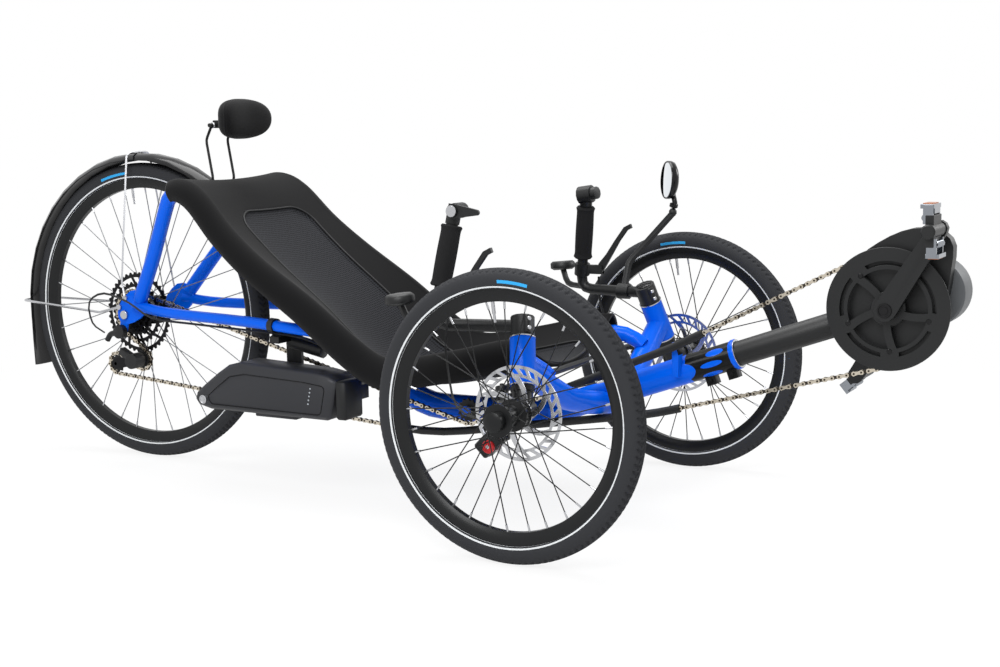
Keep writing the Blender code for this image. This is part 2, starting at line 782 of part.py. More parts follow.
def frame():
    """Main beam, cross arms with head tubes, seat hoops, chain stays and bridge."""
    down = vec(BOOM.z, 0.0, -BOOM.x)
    beam = tube("main_tube", main_path(), MAIN_RADIUS, 14)
    hoop_line = hoop_path()
    hoop = tube("seat_hoop_right", hoop_line, HOOP_RADIUS, 8)
    near = min(hoop_line, key=lambda p: abs(p.x - BRIDGE_MID.x) + (10 if p.z > 0.33 else 0))
    bridge_line = [
        near, vec(BRIDGE_MID.x, -0.095, BRIDGE_MID.z + 0.012), BRIDGE_MID,
        vec(BRIDGE_MID.x, 0.095, BRIDGE_MID.z + 0.012), flip(near)]
    bridge = tube("rear_bridge", bent(bridge_line, 0.08, 2), BRIDGE_RADIUS, 10)
    arm_line = [
        vec(0.004, -FIT_GAP / 2, MAIN_LEVEL + 0.032), vec(0.000, -0.046, MAIN_LEVEL + 0.0415),
        vec(-0.012, -0.150, MAIN_LEVEL + 0.067), HEAD_MID - KINGPIN * 0.010]
    arm = tube("cross_arm_right", eased(arm_line, 2), ARM_RADIUS, 12)
    head = rod("head", HEAD_LOW, HEAD_TOP, HEAD_RADIUS, 16)
    arm = join(arm, head)
    bore = rod(
        "bore", HEAD_LOW - KINGPIN * 0.01, HEAD_TOP + KINGPIN * 0.01, STEERER_RADIUS + RUN_GAP, 16)
    arm = clear_of(cut(arm, bore), beam)
    side_plane = block("plane", vec(0.0, 0.05 - FIT_GAP / 2, 0.2), (0.4, 0.1, 0.4))
    arm = cut(arm, side_plane)
    stay, hanger = chain_stay(hoop_line)
    stay_left = mirrored(stay, "chainstay_left")
    stay = join(stay, hanger)
    hoop = clear_of(hoop, arm)
    hoop_solid = tube("hoop_solid", hoop_line, HOOP_RADIUS, 8)
    bridge = clear_of(bridge, hoop_solid)
    hoop_left = mirrored(hoop_solid, "hoop_left")
    bridge = clear_of(bridge, hoop_left)
    beam = clear_of(beam, bridge)
    for old in (hoop_solid, hoop_left):
        bpy.data.objects.remove(old)
    lugs = []
    for back in (0.020, 0.062):
        place = COLLAR - BOOM * back + down * (MAIN_RADIUS + 0.004)
        lugs.append(block("lug", place, (0.018, 0.022, 0.020), Matrix.Rotation(-BOOM_ANGLE, 4, "Y")))
        lugs.append(rod("bolt", place + vec(0.0, 0.015, 0.0), place - vec(0.0, 0.015, 0.0), 0.0045, 8))
    out = CHAIN_LINE + 0.007
    lugs.append(rod("pin", vec(IDLER.x, -0.015, IDLER.z), vec(IDLER.x, -out - 0.004, IDLER.z), 0.005, 12))
    lugs.append(rod("head", vec(IDLER.x, -out, IDLER.z), vec(IDLER.x, -out - 0.005, IDLER.z), 0.0095, 12))
    spans = chain_spans()
    for spot in ((spans[2][1] + spans[2][2]) / 2, (spans[4][-1] + spans[5][0]) / 2):
        beam_z = beam_height(spot.x)
        near_y = CHAIN_TUBE_RADIUS * math.cos(math.pi / 8) + FIT_GAP - CHAIN_LINE
        middle = vec(spot.x, near_y + 0.010, (beam_z + spot.z) / 2)
        lugs.append(block("clip", middle, (0.012, 0.020, abs(beam_z - spot.z) + 0.012)))
    beam = join(beam, *lugs)
    socket = rod(
        "socket", COLLAR - BOOM * SOCKET_DEPTH, COLLAR + BOOM * 0.02, around(BOOM_RADIUS, FIT_GAP, 16), 16)
    beam = cut(beam, socket)
    finish(mirrored(arm, "cross_arm_left"), "cross_arm_left", BLUE)
    finish(arm, "cross_arm_right", BLUE)
    finish(mirrored(hoop, "seat_hoop_left"), "seat_hoop_left", BLUE)
    finish(hoop, "seat_hoop_right", BLUE)
    finish(stay_left, "chainstay_left", BLUE)
    finish(stay, "chainstay_right", BLUE)
    finish(bridge, "rear_bridge", BLUE)
    finish(beam, "main_tube", BLUE)


def hoop_path():
    """Middle line of the right seat hoop: stay, top bend, seat back, seat base, front end."""
    w = SEAT_HALF
    points = [
        vec(-1.048, -0.078, 0.354), vec(-0.980, -0.106, 0.450), vec(-0.911, -0.142, 0.548),
        vec(-0.886, w * -0.845, 0.577), vec(-0.850, w * -0.89, 0.586), vec(-0.806, w * -0.92, 0.565),
        vec(-0.740, w * -0.965, 0.500), vec(-0.660, -w, 0.437), vec(-0.548, -w, 0.362),
        vec(-0.456, -w, 0.293), vec(-0.392, -w, 0.256), vec(-0.330, -w, 0.251),
        vec(-0.210, w * -1.015, 0.274), vec(-0.105, w * -1.045, 0.299), vec(-0.052, w * -1.09, 0.298),
        vec(-0.016, w * -1.12, 0.278)]
    return eased(points, 2)


def dropout_outline():
    """Outline of a dropout plate round the axle."""
    x = REAR_AXLE.x
    z = REAR_AXLE.z
    return loop_through([
        (x - 0.021, z + 0.004), (x - 0.012, z + 0.026), (x + 0.018, z + 0.052), (x + 0.048, z + 0.050),
        (x + 0.062, z + 0.020), (x + 0.040, z - 0.006), (x + 0.006, z - 0.020), (x - 0.016, z - 0.014)], 2)


def stay_path(hoop_line):
    """Middle line of the right chain stay, from the dropout to the seat hoop."""
    joint = min(hoop_line, key=lambda p: abs(p.z - 0.343) + (10 if p.x < -0.8 or p.x > -0.3 else 0))
    return eased([
        REAR_AXLE + vec(0.030, -0.078, 0.022), REAR_AXLE + vec(0.100, -0.087, 0.014),
        vec(-0.900, -0.104, 0.331), vec(-0.710, -0.140, 0.331), joint], 3)


def chain_stay(hoop_line):
    """Right chain stay with its dropout plate, and the derailleur hanger that only the right has."""
    stay = tube("chainstay_right", stay_path(hoop_line), STAY_RADIUS, 8)
    axle = circle((REAR_AXLE.x, REAR_AXLE.z), REAR_AXLE_RADIUS + FIT_GAP, 12)
    flat = plate("dropout", dropout_outline(), DROPOUT_THICKNESS, upright(-DROPOUT_Y), [axle])
    stay = join(stay, flat)
    blocker = tube("solid", hoop_line, HOOP_RADIUS, 8)
    stay = clear_of(stay, blocker)
    bpy.data.objects.remove(blocker)
    outline = capsule(
        (REAR_AXLE.x - 0.005, REAR_AXLE.z - 0.0185), (REAR_AXLE.x - 0.010, REAR_AXLE.z - 0.036), 0.010, 0.009)
    hanger = plate("hanger", outline, DROPOUT_THICKNESS, upright(-DROPOUT_Y))
    return stay, hanger


# Steering
def eye(name, centre, axis, outer, inner, height):
    """Ring round an axis."""
    half = height / 2
    return turned(
        name, [(outer, half), (outer, -half), (inner, -half), (inner, half)], centre, axis, 16, ring=True)


def steering():
    """Knuckles, bars, grips, levers, calipers, cables and the tie rod, right side first."""
    right = pivot("right_steer_pivot", HEAD_MID)
    left = pivot("left_steer_pivot", flip(HEAD_MID))
    drop = (HEAD_MID.z - RIGHT_HUB.z) / KINGPIN.z
    heel = HEAD_MID - KINGPIN * (drop + 0.012)
    shank = rod("knuckle", heel, CLAMP_MID + KINGPIN * 0.0165, STEERER_RADIUS, 12)
    race = rod("race", HEAD_LOW - KINGPIN * RUN_GAP, HEAD_LOW - KINGPIN * 0.010, 0.0205, 12)
    boss = rod("boss", HEAD_LOW - KINGPIN * 0.007, heel, 0.0175, 12)
    root_y = HEAD_MID.y - KINGPIN.y * drop + 0.008
    stub_end = RIGHT_HUB.y + 0.0415 + RUN_GAP
    stub = rod("stub", vec(0.0, root_y, RIGHT_HUB.z), vec(0.0, stub_end, RIGHT_HUB.z), 0.0165, 12)
    spindle = rod(
        "spindle", vec(0.0, root_y, RIGHT_HUB.z), vec(0.0, RIGHT_HUB.y - 0.044, RIGHT_HUB.z),
        SPINDLE_RADIUS, 12)
    foot = STUD - KINGPIN * 0.0165
    arm = rod("arm", HEAD_LOW - KINGPIN * 0.018, foot, 0.0085, 8)
    knob = rod("knob", foot - KINGPIN * 0.005, foot + KINGPIN * 0.004, 0.0105, 10)
    stud = rod("stud", foot, STUD + KINGPIN * 0.010, STUD_RADIUS, 8)
    pad = block("pad", CALIPER_MID + vec(0.013, 0.0238, 0.013), (0.022, 0.009, 0.022), None, 0.001)
    mount = rod("mount", vec(-0.004, -0.320, 0.232), CALIPER_MID + vec(0.014, 0.0275, 0.014), 0.007, 8)
    knuckle = join(shank, race, boss, stub, spindle, arm, knob, stud, mount, pad)
    caliper, hose_end = caliper_body()
    bar = bar_body()
    grip_profile = [
        (GRIP_RADIUS + 0.002, 0.0), (GRIP_RADIUS, 0.008), (GRIP_RADIUS, GRIP_LENGTH - 0.008),
        (GRIP_RADIUS + 0.002, GRIP_LENGTH), (around(BAR_RADIUS, FIT_GAP, 12), GRIP_LENGTH),
        (around(BAR_RADIUS, FIT_GAP, 12), 0.0)]
    grip = turned("grip", grip_profile, GRIP_LOW, POST, 12, ring=True)
    lever = lever_body()
    cable = tube("brake_cable", eased([
        LEVER_PIVOT + vec(-0.010, -0.012, -0.020), LEVER_PIVOT + vec(-0.012, -0.022, -0.070),
        vec(-0.150, -0.318, 0.300), vec(-0.128, -0.328, 0.240), hose_end], 3), 0.0026, 4)
    for shape, name, coat in (
            (knuckle, "knuckle", DARK), (grip, "grip", FOAM), (caliper, "caliper", BLACK),
            (cable, "brake_cable", PLASTIC)):
        finish(mirrored(shape, name + "_left"), name + "_left", coat, left)
        finish(shape, name + "_right", coat, right)
    lever_left = pivot("left_lever_pivot", flip(LEVER_PIVOT))
    lever_right = pivot("right_lever_pivot", LEVER_PIVOT)
    finish(mirrored(lever, "brake_lever_left"), "brake_lever_left", BLACK, lever_left)
    finish(lever, "brake_lever_right", BLACK, lever_right)
    bar_left = mirrored(bar, "handlebar_left")
    finish(right_controls(bar), "handlebar_right", BLACK, right)
    finish(left_controls(bar_left), "handlebar_left", BLACK, left)
    tie_pivot = pivot("tie_rod_pivot", flip(STUD))
    link = rod("tie_rod", flip(STUD), STUD, TIE_ROD_RADIUS, 10)
    bores = []
    ends = []
    for place, axis, play in ((STUD, KINGPIN, TIE_ROD_PLAY), (flip(STUD), flip(KINGPIN), RUN_GAP)):
        ends.append(rod("end", place - axis * 0.0045, place + axis * 0.0045, 0.0115, 12))
        width = around(STUD_RADIUS, play, 10)
        bores.append(rod("hole", place - axis * 0.02, place + axis * 0.02, width, 10))
    link = cut(join(link, *ends), *bores)
    finish(link, "tie_rod", BLACK, tie_pivot)


CALIPER_MID = vec(-0.054, -TRACK / 2 + ROTOR_INSET, FRONT_RADIUS - 0.054)


def caliper_body():
    """Caliper that straddles the rotor, with adjuster knob and cable arm, and where its cable ends."""
    turn = Matrix.Rotation(math.radians(-45.0), 4, "Y")
    body = block("caliper", CALIPER_MID + vec(0.0, 0.004, 0.0), (0.046, 0.030, 0.030), turn, 0.003)
    knob = rod("knob", CALIPER_MID + vec(-0.010, 0.016, -0.010), CALIPER_MID + vec(-0.010, 0.031, -0.010), 0.011, 10)
    lug = block("lug", CALIPER_MID + vec(-0.014, 0.022, 0.016), (0.012, 0.008, 0.024), turn)
    body = join(body, knob, lug)
    slot = block(
        "slot", CALIPER_MID + vec(0.010, 0.0, 0.010), (0.070, ROTOR_THICKNESS + 2 * RUN_GAP, 0.042), turn)
    end = CALIPER_MID + vec(-0.0211, 0.022, 0.0280)
    return cut(body, slot), end


def bar_body():
    """Clamp on the steerer, bar, upright post, hand rest and lever perch."""
    line = bent([CLAMP_MID, BAR_CORNER, POST_TOP], 0.024, 3)
    bar = tube("handlebar", line, BAR_RADIUS, 8)
    clamp = rod("clamp", HEAD_TOP + KINGPIN * RUN_GAP, CLAMP_MID + KINGPIN * 0.0165, 0.0205, 12)
    rest = BAR_CORNER + vec(-0.053, -0.023, 0.043)
    stem = tube("stem", bent([
        BAR_CORNER + vec(0.012, 0.000, 0.004), BAR_CORNER + vec(-0.040, -0.018, 0.006),
        rest - vec(0.0, 0.0, 0.004)], 0.02, 2), 0.0062, 6)
    puck = turned("puck", [
        (0.0, 0.010), (0.022, 0.010), (0.0265, 0.006), (0.0265, -0.004), (0.020, -0.008), (0.0, -0.008)],
        rest, vec(-0.10, -0.05, 1.0), 10)
    perch = rod("perch", BAR_CORNER + POST * 0.030, BAR_CORNER + POST * 0.054, 0.0155, 10)
    toe = block(
        "toe", (BAR_CORNER + POST * 0.042 + LEVER_PIVOT) / 2 + vec(0.003, 0.0, -0.002), (0.046, 0.013, 0.018))
    bar = join(bar, clamp, stem, puck, perch, toe)
    bore = rod("bore", HEAD_TOP, CLAMP_MID + KINGPIN * 0.03, STEERER_RADIUS + FIT_GAP + 0.0004, 12)
    fork = block("fork", LEVER_PIVOT + vec(0.003, 0.0, 0.003), (0.034, 0.009, 0.034))
    bar = cut(bar, bore, fork)
    return join(bar, rod("pin", LEVER_PIVOT + vec(0.0, 0.0055, 0.0), LEVER_PIVOT - vec(0.0, 0.0055, 0.0), 0.0028, 8))


def lever_body():
    """Brake lever blade with its pivot eye."""
    outline = loop_through([
        (-0.0095, -0.004), (0.004, -0.0095), (0.0115, 0.002), (0.026, 0.026), (0.044, 0.056),
        (0.060, 0.077), (0.070, 0.082), (0.067, 0.090), (0.053, 0.083), (0.033, 0.056),
        (0.014, 0.028), (-0.002, 0.0095)], 1)
    hole = circle((0.0, 0.0), 0.0028 + FIT_GAP, 10)
    place = Matrix.Translation(LEVER_PIVOT) @ Matrix.Rotation(math.pi / 2, 4, "X")
    return plate("brake_lever", outline, 0.0078, place, [hole])


def right_controls(bar):
    """Bar-end shifter body joined to the right bar, and its lever."""
    p = SHIFTER_PIVOT
    stem = rod("stem", POST_TOP - POST * 0.034, POST_TOP, 0.0125, 14)
    hub = rod("hub", p + vec(0.0, 0.012, 0.0), p - vec(0.0, 0.0160, 0.0), 0.0135, 14)
    pin = rod("pin", p + vec(0.0, 0.004, 0.0), p - vec(0.0, 0.0255, 0.0), 0.0035, 12)
    cap = rod("cap", p - vec(0.0, 0.0228, 0.0), p - vec(0.0, 0.0260, 0.0), 0.0105, 12)
    carrier = pivot("shifter_pivot", p)
    outline = capsule((0.0, 0.0), (0.046, -0.002), 0.0125, 0.0048, 6)
    place = Matrix.Translation(p - vec(0.0, 0.0195, 0.0)) @ Matrix.Rotation(math.pi / 2, 4, "X")
    lever = plate("shifter_lever", outline, 0.0056, place, [circle((0.0, 0.0), around(0.0035, FIT_GAP, 12), 12)])
    finish(lever, "shifter_lever", BLACK, carrier)
    return join(bar, stem, hub, pin, cap)


def left_controls(bar):
    """Control pod and mirror arm joined to the left bar, and the mirror."""
    top = flip(POST_TOP)
    stem = rod("stem", top - flip(POST) * 0.034, top, 0.0125, 10)
    pod = rod("pod", top + vec(-0.016, 0.0, -0.012), top + vec(0.012, 0.0, -0.008), 0.0175, 12)
    knob = rod("knob", top + vec(0.010, 0.0, -0.008), top + vec(0.024, -0.002, -0.006), 0.0125, 10)
    base = flip(CLAMP_MID + (BAR_CORNER - CLAMP_MID) * 0.34)
    ring = rod("ring", base + vec(0.012, 0.0, 0.0), base + vec(-0.012, 0.0, 0.0), 0.0155, 12)
    arm = tube("arm", bent([
        base, base + vec(0.0, 0.024, 0.056), MIRROR_BALL - vec(0.0, 0.0, 0.002)], 0.03, 3), 0.0075, 6)
    tip = ball("tip", MIRROR_BALL, 0.0088, 8)
    bar = join(bar, stem, pod, knob, ring, arm, tip)
    carrier = pivot("mirror_pivot", MIRROR_BALL)
    middle = MIRROR_BALL + vec(-0.006, 0.0, 0.064)
    glass = vec(-0.76, -0.64, 0.06)
    head = turned("mirror_head", [
        (0.0, 0.008), (MIRROR_RADIUS - 0.002, 0.008), (MIRROR_RADIUS, 0.005), (MIRROR_RADIUS, -0.001),
        (MIRROR_RADIUS * 0.75, -0.010), (0.0, -0.015)], middle, glass, 16)
    neck = tube("neck", [MIRROR_BALL, MIRROR_BALL + vec(0.006, 0.0, 0.026)], 0.0140, 10)
    head = join(head, neck)
    reach = [ball("socket", MIRROR_BALL, 0.0102, 10)]
    wide = rod(
        "mouth", MIRROR_BALL + vec(0.002, 0.0, 0.001), MIRROR_BALL + vec(-0.012, -0.005, -0.024), 0.011, 10,
        0.022)
    head = cut(head, wide, *reach)
    finish(head, "mirror_head", BLACK, carrier)
    return bar


# Drive
def boom_group():
    """Boom, motor, chainring, cranks and pedals."""
    carrier = pivot("boom_pivot", COLLAR)
    turning = pivot("crank_pivot", CRANK)
    outline = loop_through([
        (-0.077, 0.000), (-0.072, 0.044), (-0.052, 0.082), (-0.021, 0.107), (0.016, 0.126),
        (0.050, 0.132), (0.084, 0.124), (0.099, 0.103), (0.096, 0.064), (0.090, 0.020),
        (0.074, -0.024), (0.046, -0.062), (0.000, -0.077), (-0.050, -0.058)], 2)
    outline = [(CRANK.x + x, CRANK.z + z) for x, z in outline]
    axle_radius = 0.0085
    axle_hole = circle((CRANK.x, CRANK.z), axle_radius + RUN_GAP, 14)
    case = plate("motor_housing", outline, 0.027, upright(-0.0255), [axle_hole])
    shell_y = 0.050
    inner = -0.0120 + FIT_GAP
    spar = tube("boom", [COLLAR - BOOM * BOOM_INSERT, CRANK], BOOM_RADIUS, 14)
    barrel = rod("shell", vec(CRANK.x, inner, CRANK.z), vec(CRANK.x, shell_y, CRANK.z), 0.0215, 14)
    spar = join(spar, barrel)
    can = turned("motor_can", [
        (0.0, 0.052), (0.050, 0.052), (0.057, 0.046), (0.057, inner + 0.004), (0.053, inner), (0.0, inner)],
        vec(CAN_MID.x, 0.0, CAN_MID.z), vec(0.0, 1.0, 0.0), 24)
    can = clear_of(can, spar)
    bore = rod("bore", vec(CRANK.x, inner - 0.05, CRANK.z), vec(CRANK.x, 0.07, CRANK.z), axle_radius + RUN_GAP, 14)
    spar = cut(spar, bore)
    spar = clear_of(spar, case)
    finish(case, "motor_housing", BLACK, carrier)
    finish(spar, "boom", BLACK, carrier)
    finish(can, "motor_can", GREY, carrier)
    middle = (CRANK.x, CRANK.z)
    fit = circle(middle, 0.022, 14)
    toothed = plate(
        "chainring", gear_outline(CRANK, RING_TEETH), 0.0026, upright(-CHAIN_LINE), [fit, *ring_windows(0.036, 0.072)])
    guard_y = -CHAIN_LINE - 0.0085
    guard = plate(
        "guard", circle(middle, GUARD_RADIUS, 36), 0.003, upright(guard_y),
        [fit, *ring_windows(0.036, 0.074)])
    core = eye("core", vec(CRANK.x, (guard_y - CHAIN_LINE) / 2, CRANK.z), vec(0.0, 1.0, 0.0), 0.030,
               axle_radius + FIT_GAP, 0.0112)
    toothed = join(toothed, guard, core)
    finish(toothed, "chainring", BLACK, turning, smooth=False)
    boss_in = guard_y - 0.0062
    crank_parts(turning, axle_radius, boss_in)


def ring_windows(inner, outer, start=0.10, stop=0.90):
    """Five windows between the spider arms of the chainring."""
    windows = []
    for k in range(5):
        base = CRANK_TURN + 2 * math.pi * k / 5
        low = base + 2 * math.pi / 5 * start
        high = base + 2 * math.pi / 5 * stop
        path = []
        for j in range(6):
            a = low + (high - low) * j / 5
            path.append((CRANK.x + outer * math.cos(a), CRANK.z + outer * math.sin(a)))
        for j in range(2):
            a = high + (low - high) * j
            path.append((CRANK.x + inner * math.cos(a), CRANK.z + inner * math.sin(a)))
        windows.append(path)
    return windows


def crank_parts(turning, axle_radius, boss_in):
    """Two crank arms on one axle and a clip pedal on each."""
    thick = 0.014
    lean = vec(math.cos(CRANK_TURN), 0.0, math.sin(CRANK_TURN)) * CRANK_LENGTH
    left_in = 0.0605
    axle_end = left_in + thick * 0.7
    for word, sign, y_in, pedal_turn in (("right", -1, boss_in, 0.0), ("left", 1, left_in, 50.0)):
        y_mid = y_in + sign * thick / 2
        tip = CRANK - lean * sign
        outline = capsule((CRANK.x, CRANK.z), (tip.x, tip.z), 0.0185, 0.0135, 5)
        arm = plate("crank_" + word, outline, thick, upright(y_mid))
        eye_end = vec(tip.x, y_mid, tip.z)
        pin_end = eye_end + vec(0.0, sign * 0.078, 0.0)
        pin = rod("pin", eye_end, pin_end, 0.0055, 10)
        arm = join(arm, pin)
        if sign < 0:
            axle = rod(
                "axle", vec(CRANK.x, y_mid, CRANK.z), vec(CRANK.x, axle_end, CRANK.z), axle_radius, 14)
            arm = join(arm, axle)
        else:
            hole = rod(
                "hole", vec(CRANK.x, 0.0, CRANK.z), vec(CRANK.x, axle_end + FIT_GAP, CRANK.z),
                axle_radius + FIT_GAP, 14)
            arm = cut(arm, hole)
        finish(arm, "crank_" + word, BLACK, turning)
        carrier = pivot(word + "_pedal_pivot", eye_end)
        first = eye_end.y + sign * (thick / 2 + 0.0012)
        last = pin_end.y + sign * 0.004
        centre = vec(tip.x, (first + last) / 2, tip.z)
        width = abs(last - first)
        body = rod("pedal", vec(tip.x, first, tip.z), vec(tip.x, last, tip.z), 0.012, 10)
        tilt = Matrix.Rotation(math.radians(pedal_turn), 4, "Y")
        frame_block = block("frame", centre, (0.014, width * 0.86, 0.066), tilt)
        jaws = []
        for end in (1, -1):
            reach = tilt @ vec(-0.0046 * end, 0.0, 0.036 * end)
            jaws.append(block("jaw", centre + reach, (0.022, width * 0.66, 0.014), tilt))
        body = join(body, frame_block, *jaws)
        hole = rod(
            "hole", eye_end, pin_end + vec(0.0, sign * FIT_GAP, 0.0), 0.0055 + FIT_GAP, 10)
        body = cut(body, hole)
        finish(body, "pedal_" + word, DARK, carrier)


def pulley(name, place, teeth, bore, thickness, carrier):
    """Small toothed wheel with a bore and round windows."""
    middle = (place.x, place.z)
    holes = [circle(middle, bore, 10)]
    body = plate(
        name, gear_outline(place, teeth, 0.0042), thickness, upright(place.y), holes)
    return finish(body, name, PLASTIC, carrier, smooth=False)


def derailleur():
    """Derailleur body on the hanger, sliding carriage, sprung cage and two jockey wheels."""
    knuckle = REAR_AXLE + vec(-0.010, -DROPOUT_OUT - FIT_GAP, -0.036)
    body = rod("derailleur_body", knuckle, knuckle - vec(0.0, 0.014, 0.0), 0.0145, 16)
    horn = tube("horn", bent([
        knuckle - vec(0.0, 0.008, 0.0), knuckle + vec(-0.026, -0.009, -0.006),
        knuckle + vec(-0.036, -0.009, -0.020)], 0.012, 3), 0.006, 8)
    body = join(body, horn)
    finish(body, "derailleur_body", BLACK)
    shift = pivot("derailleur_pivot", GUIDE)
    outer = -CHAIN_LINE - 0.0085
    hub = vec(GUIDE.x, outer - 0.0045, GUIDE.z)
    knob = rod("carriage", vec(GUIDE.x, outer - 0.0012, GUIDE.z), vec(GUIDE.x, outer - 0.030, GUIDE.z), 0.0165, 18)
    web = block(
        "web", vec(GUIDE.x - 0.016, outer - 0.0200, GUIDE.z + 0.012), (0.040, 0.016, 0.018),
        Matrix.Rotation(math.radians(28.0), 4, "Y"), 0.003)
    pin = rod("pin", hub - vec(0.0, 0.004, 0.0), vec(GUIDE.x, -CHAIN_LINE + 0.0075, GUIDE.z), 0.0032, 10)
    finish(join(knob, web, pin), "derailleur_carriage", BLACK, shift)
    cage = pivot("cage_pivot", GUIDE)
    plates = []
    for y in (outer, -CHAIN_LINE + 0.0055):
        plates.append(plate(
            "cage", capsule((GUIDE.x, GUIDE.z), (TENSION.x, TENSION.z), 0.0120, 0.0105, 5), 0.0018, upright(y),
            [circle((GUIDE.x, GUIDE.z), 0.0032 + FIT_GAP, 10)]))
    axis_pin = rod("pin", vec(TENSION.x, outer, TENSION.z), vec(TENSION.x, -CHAIN_LINE + 0.0055, TENSION.z), 0.003, 10)
    finish(join(plates[0], plates[1], axis_pin), "derailleur_cage", DARK, cage, smooth=False)
    upper = pivot("guide_pivot", GUIDE)
    lower = pivot("tension_pivot", TENSION)
    pulley("guide_pulley", GUIDE, PULLEY_TEETH, 0.0032 + FIT_GAP, 0.0038, upper)
    pulley("tension_pulley", TENSION, PULLEY_TEETH, 0.003 + FIT_GAP, 0.0038, lower)
    idler = pivot("idler_pivot", IDLER)
    pulley("idler_pulley", IDLER, IDLER_TEETH, 0.005 + RUN_GAP, 0.0044, idler)
    line = eased([
        vec(-0.470, -SEAT_HALF + 0.006, 0.280), vec(-0.560, -0.168, 0.3112), vec(-0.710, -0.140, 0.3143),
        vec(-0.900, -0.106, 0.3148), vec(-1.000, -0.099, 0.3200), vec(-1.060, -0.101, 0.350),
        vec(-1.130, -0.098, 0.366), vec(-1.176, -0.095, 0.345), vec(-1.174, -0.091, 0.300),
        knuckle + vec(-0.043, -0.009, -0.004)], 3)
    cable = tube("shift_cable", line, 0.0024, 4)
    cable = clear_of(cable, bpy.data.objects["derailleur_body"])
    finish(cable, "shift_cable", PLASTIC)


# Seat and headrest
def seat():
    """Sling cover over the two rails, headrest frame and headrest pad."""
    line = [p for p in hoop_path() if -0.872 < p.x < -0.075]
    line = [p for k, p in enumerate(line) if k % 2 == 0 or p.x < -0.80]
    rows = []
    wrap = (HOOP_RADIUS + 4 * FIT_GAP) / math.cos(math.radians(25.0))
    for k, place in enumerate(line):
        along = line[min(k + 1, len(line) - 1)] - line[max(k - 1, 0)]
        along.y = 0.0
        along.normalize()
        up = vec(-along.z, 0.0, along.x)
        w = -place.y
        down = min(1.0, max(0.0, (place.x + 0.83) / 0.45))
        ease = down * down * (3 - 2 * down)
        sag = SLING_SAG_TOP + (SLING_SAG - SLING_SAG_TOP) * ease
        row = []
        half = []
        for angle in (-40.0, 5.0, 50.0, 100.0):
            a = math.radians(angle)
            half.append((w + wrap * math.cos(a), wrap * math.sin(a) + max(0.0, math.sin(a)) * BOLSTER * ease))
        edge_y, edge_up = half[-1]
        for part in (0.78, 0.55, 0.28):
            y = edge_y * part
            half.append((y, edge_up - sag * (1 - part ** 2)))
        half.append((0.0, edge_up - sag))
        both = [(-y, u) for y, u in half] + [(y, u) for y, u in reversed(half[:-1])]
        for y, u in both:
            row.append(vec(place.x, y, place.z) + up * u)
        rows.append(row)
    sling = shell("seat_sling", rows, SLING_THICKNESS, -1.0)
    finish(sling, "seat_sling", FABRIC)
    top = min(hoop_path(), key=lambda p: abs(p.x + 0.886) + (10 if p.z < 0.55 else 0))
    bar = tube("headrest_frame", [top, flip(top)], 0.0085, 8)
    for word in ("seat_hoop_left", "seat_hoop_right"):
        bar = clear_of(bar, bpy.data.objects[word])
    posts = []
    for y in (-0.034, 0.034):
        start = vec(top.x, y, top.z)
        posts.append(tube("post", bent([
            start, start + vec(0.012, 0.0, 0.030), HEADREST_PIVOT + vec(-0.016, y, -0.03),
            HEADREST_PIVOT + vec(0.0, y, 0.0)], 0.02, 2), 0.0035, 4))
    pin = rod("pin", HEADREST_PIVOT + vec(0.0, 0.042, 0.0), HEADREST_PIVOT - vec(0.0, 0.042, 0.0), 0.0042, 12)
    finish(join(bar, pin, *posts), "headrest_frame", STEEL)
    carrier = pivot("headrest_pivot", HEADREST_PIVOT)
    middle = HEADREST_PIVOT + vec(0.056, 0.0, 0.012)
    rows = bmesh.new()
    bmesh.ops.create_uvsphere(rows, u_segments=16, v_segments=9, radius=1.0)
    for vertex in rows.verts:
        x, y, z = vertex.co
        spread = (abs(x) ** 2.6 + abs(y) ** 2.6 + abs(z) ** 2.6) ** (-1 / 2.6)
        vertex.co = (
            x * spread * PAD_DEPTH / 2 - 0.010 * (1 - abs(y) ** 2) + 0.010 * y * y,
            y * spread * PAD_WIDTH / 2, z * spread * PAD_HEIGHT / 2)
    bmesh.ops.transform(rows, matrix=Matrix.Translation(middle), verts=rows.verts)
    pad = from_shape("headrest_pad", rows)
    lug = block("lug", HEADREST_PIVOT + vec(0.016, 0.0, 0.002), (0.044, 0.046, 0.016), None, 0.002)
    pad = join(pad, lug)
    pad = cut(pad, rod("hole", HEADREST_PIVOT + vec(0.0, 0.05, 0.0), HEADREST_PIVOT - vec(0.0, 0.05, 0.0),
                       0.0042 + FIT_GAP, 12))
    finish(pad, "headrest_pad", FOAM, carrier)


